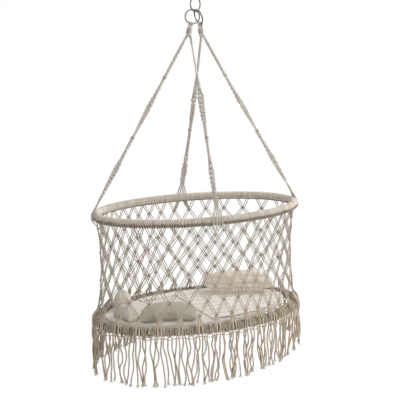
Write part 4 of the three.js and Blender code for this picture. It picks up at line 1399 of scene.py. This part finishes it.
# %% Woven cotton material
WEAVE_SPACING = 2.5 * MM
CLOTH_FUZZ_SCALE = 400.0
CLOTH_DYE_SCALE = 14.0
STRIPE_WANDER = 14 * MM
STRIPE_WANDER_SCALE = 5.0
WOVEN_COTTON = {
    "Roughness": 0.88,
    "IOR": 1.5,
    "Specular IOR Level": 0.2,
    "Sheen Weight": 0.3,
    "Sheen Roughness": 0.45,
}


def ripple(tree, place, spacing, shape):
    """A wave between 1 and -1 that repeats at each spacing along a place in metres."""
    turn = add(tree, "Math", {0: place, 1: TAU / spacing}, operation="MULTIPLY")
    return add(tree, "Math", {0: turn}, operation=shape)


def woven_cotton(name, light, dark, stripes=None):
    """Plain woven cotton; stripes are a hex, a spacing, a wave height to start at and an axis."""
    material, tree = new_material(name)
    spot = add(tree, "TexCoord").outputs["Object"]
    axes = add(tree, "SeparateXYZ", {0: spot})
    threads = [ripple(tree, axes.outputs[axis], WEAVE_SPACING, "SINE") for axis in range(3)]
    weave = add(tree, "Math", {0: threads[0], 1: threads[1]}, operation="MULTIPLY")
    weave = add(tree, "Math", {0: weave, 1: threads[2]}, operation="ADD")
    colour = tone_of(tree, spot, CLOTH_DYE_SCALE, 5.0, light, dark)
    if stripes:
        line, spacing, start, axis = stripes
        facts = {"Vector": spot, "Scale": STRIPE_WANDER_SCALE, "Detail": 1.0}
        wander = add(tree, "TexNoise", facts)
        shift = add(tree, "Math", {0: wander, 1: STRIPE_WANDER}, operation="MULTIPLY")
        place = add(tree, "Math", {0: axes.outputs[axis], 1: shift}, operation="ADD")
        wave = ripple(tree, place, spacing, "COSINE")
        mask = add(tree, "MapRange", {0: wave, 1: start, 2: 1.0})
        colour = add(tree, "MixRGB", {0: mask, 1: colour, 2: srgb(line)})
    fuzz = add(tree, "TexNoise", {"Vector": spot, "Scale": CLOTH_FUZZ_SCALE, "Detail": 3.0})
    height = add(tree, "Math", {0: weave, 1: fuzz}, operation="ADD")
    finish(tree, colour, height, 0.35, 0.2 * MM, WOVEN_COTTON)
    return material


# Thin grey lines across the quilt, 38 mm apart.
QUILT_LINES = ("#c2b9b4", 38 * MM, 0.93, 1)
CUSHION_STRIPES = ("#dfcebe", 26 * MM, 0.2, 2)
sheet_cotton = woven_cotton("white_cotton_sheet", "#f5f0ea", "#ebe5de")
quilt_cotton = woven_cotton("quilted_white_cotton", "#fbf6ef", "#f4ede4", QUILT_LINES)
sage_cotton = woven_cotton("sage_woven_cotton", "#c8c0b2", "#b7afa0")
pale_cotton = woven_cotton("pale_grey_woven_cotton", "#ddd5c9", "#cec5b8")
sand_cotton = woven_cotton("sand_striped_cotton", "#f2eadf", "#e7ddd0", CUSHION_STRIPES)
linen = woven_cotton("greige_linen", "#e9e1d6", "#dcd4c8")
print("stripes of the cushion every", CUSHION_STRIPES[1] / MM, "mm")

# %% [markdown]
# ## Filled pieces
#
# A filled cushion gets its folds from its filling: the cloth is cut a little larger than the pad, the
# filling presses it out, and it wrinkles where it can't stretch. The cloth simulation does the
# same. It starts from the CAD solid, drawn in or grown a little and remeshed into even faces,
# and presses from inside. The move of each point is capped, and slow waves then press in the
# shallow folds of slack cloth. Each piece is held in the box of its CAD solid or a few
# millimetres beside it, so that it stays clear of its neighbours.

# %% Points of a soft piece
VOXEL = 5 * MM
PILLOW_VOXEL = 4 * MM
QUILT_VOXEL = 3.5 * MM
WALL_SLOPE = 0.5


def move_points(obj, places):
    """Puts the points of an object's mesh at new places."""
    obj.data.vertices.foreach_set("co", places.astype(np.float32).ravel())
    obj.data.update()


def apply_modifiers(obj):
    """Gives the object the mesh that its modifiers make, and clears them."""
    graph = bpy.context.evaluated_depsgraph_get()
    mesh = bpy.data.meshes.new_from_object(obj.evaluated_get(graph), depsgraph=graph)
    obj.modifiers.clear()
    obj.data = mesh


def drawn_in(node, name, material, inset, voxel):
    """A new object from a CAD solid with even faces, drawn in by inset or grown where it is below 0."""
    obj = in_scene(name, nodes[node].data.copy())
    co = points_of(obj.data)
    low, high = co.min(0), co.max(0)
    middle = (low + high) / 2
    move_points(obj, middle + (co - middle) * (1 - inset / ((high - low) / 2)))
    remesh = obj.modifiers.new("even", "REMESH")
    remesh.mode = "VOXEL"
    remesh.voxel_size = voxel
    apply_modifiers(obj)
    obj.data.materials.clear()
    obj.data.materials.append(material)
    return obj


def sagged(obj, droop):
    """Lets the seam of a pillow sink: its rim drops and its lower half stands upright."""
    co = points_of(obj.data)
    low, high = co.min(0), co.max(0)
    place = 2 * (co - low) / (high - low) - 1
    rim = np.clip(place[:, 0] ** 2 + place[:, 1] ** 2, 0, 1)
    height = (place[:, 2] + 1) / 2
    co[:, 2] = low[2] + (high[2] - low[2]) * height ** (1 + droop * rim)
    move_points(obj, co)


def flat_walls(obj):
    """Flat shading on the steep sides of a thin piece, so that its edge has no dark rim."""
    level = np.abs(numbers_of(obj.data.polygons, "normal")[:, 2]) > WALL_SLOPE
    obj.data.polygons.foreach_set("use_smooth", level)
    obj.data.update()


def finish_filled(obj, node, slot, beside=0.0, above=0.0):
    """Holds a piece in its CAD node's box or a little outside it, smooths it and hands it over."""
    low, high = box_of(node)
    low -= (beside, beside, 0)
    high += (beside, beside, above)
    move_points(obj, np.clip(points_of(obj.data), low, high))
    obj.modifiers.new("fine", "SUBSURF").levels = 1
    apply_modifiers(obj)
    obj.data.polygons.foreach_set("use_smooth", np.ones(len(obj.data.polygons), bool))
    obj.data.update()
    stands_for(obj, node, slot, node)
    print(obj.name, len(obj.data.polygons), "faces")


# %% Cloth under pressure
FILL_FRAMES = 20
CLOTH_SETTINGS = {
    "quality": 4,
    "mass": 0.2,
    "use_pressure": True,
    "uniform_pressure_force": 4.0,
    "shrink_min": -0.06,
    "tension_stiffness": 8,
    "compression_stiffness": 8,
    "bending_stiffness": 0.4,
}


def fill(obj, cap):
    """Presses the cloth out, each point within cap of where it was."""
    start = points_of(obj.data)
    cloth = obj.modifiers.new("filling", "CLOTH")
    for name, value in CLOTH_SETTINGS.items():
        setattr(cloth.settings, name, value)
    cloth.settings.effector_weights.gravity = 0
    cloth.point_cache.frame_start = 1
    cloth.point_cache.frame_end = FILL_FRAMES
    for frame_number in range(1, FILL_FRAMES + 1):
        bpy.context.scene.frame_set(frame_number)
    apply_modifiers(obj)
    bpy.context.scene.frame_set(1)
    move = points_of(obj.data) - start
    size = np.linalg.norm(move, axis=1, keepdims=True)
    move_points(obj, start + move * np.minimum(1, cap / np.maximum(size, 1e-9)))
    print(obj.name, "moved up to", round(size.max() / MM, 1), "mm, capped at", round(cap / MM, 1))


# %% Folds of slack cloth
FOLD_OCTAVES = 5
FOLD_BEND = 0.8
FOLD_BEND_RATE = 1.7
FINER_SHARE = 0.6
FAINTER_SHARE = 0.5


def folds(obj, seed, size, length):
    """Moves points in along their normals by slow waves, for the folds of slack cloth."""
    draw = np.random.default_rng(seed)
    co = points_of(obj.data)
    normals = numbers_of(obj.data.vertex_normals, "vector")
    total = np.zeros(len(co))
    for octave in range(FOLD_OCTAVES):
        way = unit(draw.normal(0, 1, 3))
        across = unit(np.cross(way, draw.normal(0, 1, 3)))
        bend = FOLD_BEND * np.sin(co @ across / length * FOLD_BEND_RATE + draw.uniform(0, TAU))
        turn = co @ way / length * TAU * (1 + FINER_SHARE * octave)
        wave = np.sin(turn + bend + draw.uniform(0, TAU))
        total += (0.5 + 0.5 * wave) ** 2 / (1 + FAINTER_SHARE * octave)
    move_points(obj, co - normals * (size * total / total.max())[:, None])


# %% Mattress
BEDDING_SPREAD = 8 * MM
FLAT_INSET = np.array([-BEDDING_SPREAD, -BEDDING_SPREAD, 1.5 * MM])
mattress = drawn_in("mattress", "mattress_and_sheet", sheet_cotton, FLAT_INSET, VOXEL)
fill(mattress, 2 * MM)
folds(mattress, 3, 2.5 * MM, 120 * MM)
finish_filled(mattress, "mattress", "sheet_cloth", BEDDING_SPREAD)
flat_walls(mattress)

# %% Pillows, cushion and bolster
PILLOW_INSET = 3 * MM
FILL_CAP = 6 * MM
FOLD_DEPTH = 3 * MM
FOLD_LENGTH = 90 * MM
# CAD node, name, material, slot, amount of filling, droop of the rim, growth at the sides
FILLED = (
    ("front_pillow", "sage_pillow", sage_cotton, "pillow_cloth", 0.7, 1.3, 0),
    ("side_pillow", "pale_side_pillow", pale_cotton, "side_pillow_cloth", 0.7, 0.9, 6 * MM),
    ("end_cushion", "striped_end_cushion", sand_cotton, "cushion_cloth", 0.6, 0, 0),
    ("bolster", "linen_bolster", linen, "bolster_cloth", 0.8, 0.5, 4 * MM),
)
for seed, (node, name, material, slot, amount, droop, growth) in enumerate(FILLED, 20):
    pillow = drawn_in(node, name, material, PILLOW_INSET - growth, PILLOW_VOXEL)
    if droop:
        sagged(pillow, droop)
    fill(pillow, FILL_CAP)
    folds(pillow, seed, FOLD_DEPTH, FOLD_LENGTH)
    finish_filled(pillow, node, slot, growth)

# %% [markdown]
# ## Quilt
#
# The quilt is two cloths with a thin wadding between them, stitched in straight channels. It lies
# slack on the mattress, is bunched in small folds along the back edge, and thins out to a seam
# all round. Stitching and folds this small are surer when they are worked out than when they
# are simulated: each is a wave that presses its upper side down or lifts it.

# %% Rim of the quilt
RIM_WIDTH = 20 * MM
RIM_LEFT_SHARE = 0.12
RIM_SLOPE = 0.6
RIM_CURVE = 0.5


def thin_rim(obj):
    """Presses the rim of a flat piece down to a share of its height."""
    co = points_of(obj.data)
    walls = [face.center for face in obj.data.polygons if abs(face.normal.z) < RIM_SLOPE]
    tree = KDTree(len(walls))
    for number, centre in enumerate(walls):
        tree.insert((centre.x, centre.y, 0), number)
    tree.balance()
    away = np.array([tree.find((x, y, 0))[2] for x, y, _ in co]) / RIM_WIDTH
    low = co[:, 2].min()
    rise = RIM_LEFT_SHARE + (1 - RIM_LEFT_SHARE) * np.clip(away, 0, 1) ** RIM_CURVE
    co[:, 2] = low + (co[:, 2] - low) * rise
    move_points(obj, co)


# %% Upper side of the quilt
CHANNEL_SPACING = 46 * MM
CHANNEL_DEPTH = 2.7 * MM
CHANNEL_SHARPNESS = 0.6
SLACK_DEPTH = 1.62 * MM
SLACK_LENGTHS = (70 * MM, 150 * MM)
BUNCH_HEIGHT = 9 * MM
BUNCH_WIDTH = 34 * MM
BUNCH_OFF_HOOP = 30 * MM
BUNCH_FOLD = 31 * MM
BUNCH_FOLD_SHARE = 0.25
BUNCH_SLANT = 0.8
BUNCH_ROLL = 0.8 * math.pi
BUNCH_START = math.radians(48)
BUNCH_FULL = math.radians(78)


def quilt_surface(obj):
    """Presses stitched channels and slack waves into the quilt, and lifts its bunched back edge."""
    co = points_of(obj.data)
    x, y, z = co.T
    upper = np.clip((z - z.min()) / (z.max() - z.min()) * 2 - 1, 0, 1)
    channel = np.abs(np.sin(math.pi * x / CHANNEL_SPACING)) ** CHANNEL_SHARPNESS
    wave = np.sin(y / SLACK_LENGTHS[0] * TAU + 2 * np.sin(x / SLACK_LENGTHS[1] * TAU))
    turn = np.arctan2(y / HALF_WIDE, x / HALF_LONG)
    edge = np.hypot(HALF_LONG * np.cos(turn), HALF_WIDE * np.sin(turn)) - np.hypot(x, y)
    depth = np.clip((BUNCH_WIDTH + BUNCH_OFF_HOOP - edge) / BUNCH_WIDTH, 0, 1)
    back = np.clip((turn - BUNCH_START) / (BUNCH_FULL - BUNCH_START), 0, 1)
    ripples = np.sin(TAU * (HALF_LONG * turn + edge * BUNCH_SLANT) / BUNCH_FOLD)
    fold = 1 - BUNCH_FOLD_SHARE + BUNCH_FOLD_SHARE * ripples
    lift = BUNCH_HEIGHT * np.sin(depth * BUNCH_ROLL) * back * fold
    pressed = CHANNEL_DEPTH * (1 - channel) + SLACK_DEPTH * (0.5 + 0.5 * wave)
    co[:, 2] += upper * (lift - pressed)
    move_points(obj, co)


quilt_inset = FLAT_INSET / 3 + (0, 0, 0.2 * MM)
quilt = drawn_in("quilt", "white_quilt", quilt_cotton, quilt_inset, QUILT_VOXEL)
thin_rim(quilt)
quilt_surface(quilt)
finish_filled(quilt, "quilt", "quilt_cloth", BEDDING_SPREAD, BUNCH_HEIGHT)
flat_walls(quilt)

# %% [markdown]
# ## Studio
#
# The photo shows the cradle in front of plain white, lit softly from above and from the right. The
# background is white only for what the camera and reflections see, so it adds no light. The
# floor lies well below the fringe and still takes the shadow. For the camera it is a greyer
# floor with a glow added to it. The glow grows with the distance, as the lamps' light falls
# off, so that the floor looks white everywhere and no brighter.

# %% World
SKY_LIGHT = 0.5
world = bpy.data.worlds.new("plain_studio")
bpy.context.scene.world = world
bpy.context.scene.view_settings.view_transform = "Standard"
world.use_nodes = True
world.node_tree.nodes.clear()
rays = add(world.node_tree, "LightPath")
seen = rays.outputs["Is Camera Ray"]
for kind in ("Is Glossy Ray", "Is Transmission Ray"):
    seen = add(world.node_tree, "Math", {0: seen, 1: rays.outputs[kind]}, operation="MAXIMUM")
lighting = add(world.node_tree, "Background", {"Color": srgb("#f6f4f2"), "Strength": SKY_LIGHT})
backdrop = add(world.node_tree, "Background", {"Color": srgb("#ffffff"), "Strength": 1.0})
mixed = add(world.node_tree, "MixShader", {0: seen, 1: lighting, 2: backdrop})
add(world.node_tree, "OutputWorld", {"Surface": mixed})
print("sky light", SKY_LIGHT)

# %% Floor
FLOOR_DROP = 0.45
FLOOR_REACH = 60.0
GLOW_NEAR, GLOW_FAR = 0.4, 4.5
GLOW_AT_NEAR, GLOW_AT_FAR = 0.52, 0.77
floor_material, tree = new_material("plain_pale_floor")
rays = add(tree, "LightPath")
spot = add(tree, "TexCoord").outputs["Object"]
away = add(tree, "VectorMath", {0: spot}, operation="LENGTH").outputs["Value"]
strength = add(tree, "MapRange", {0: away, 1: GLOW_NEAR, 2: GLOW_FAR, 3: GLOW_AT_NEAR, 4: GLOW_AT_FAR})
matt = add(tree, "BsdfDiffuse", {"Color": srgb("#f4f4f4")})
darker = add(tree, "BsdfDiffuse", {"Color": srgb("#bcbcbc")})
glow = add(tree, "Emission", {"Color": srgb("#ffffff"), "Strength": strength})
lit = add(tree, "AddShader", {0: darker, 1: glow})
show(tree, add(tree, "MixShader", {0: rays.outputs["Is Camera Ray"], 1: matt, 2: lit}))
floor_mesh = bpy.data.meshes.new("floor")
floor_z = cad_box[0][2] - FLOOR_DROP
corners = [(x * FLOOR_REACH, y * FLOOR_REACH, floor_z) for x, y in ((-1, -1), (1, -1), (1, 1), (-1, 1))]
floor_mesh.from_pydata(corners, [], [(0, 1, 2, 3)])
floor_mesh.materials.append(floor_material)
in_scene("floor", floor_mesh)
print("floor at", round(floor_z, 3))

# %% Soft lights
basket_middle = Vector((0, 0, (UPPER_Z + LOWER_Z) / 2))


def softbox(name, place, size, power):
    """A square area light that faces the basket."""
    lamp = bpy.data.lights.new(name, "AREA")
    lamp.size = size
    lamp.energy = power
    obj = in_scene(name, lamp)
    obj.location = place
    obj.rotation_euler = (basket_middle - Vector(place)).to_track_quat("-Z", "Y").to_euler()
    print(name, power, "W")


softbox("key_from_upper_right", (2.4, -0.3, 0.9), 1.5, 42)
softbox("top", (0.1, 0.5, 1.8), 2.0, 20)
softbox("front_fill", (0.5, -2.9, -0.2), 2.0, 29)
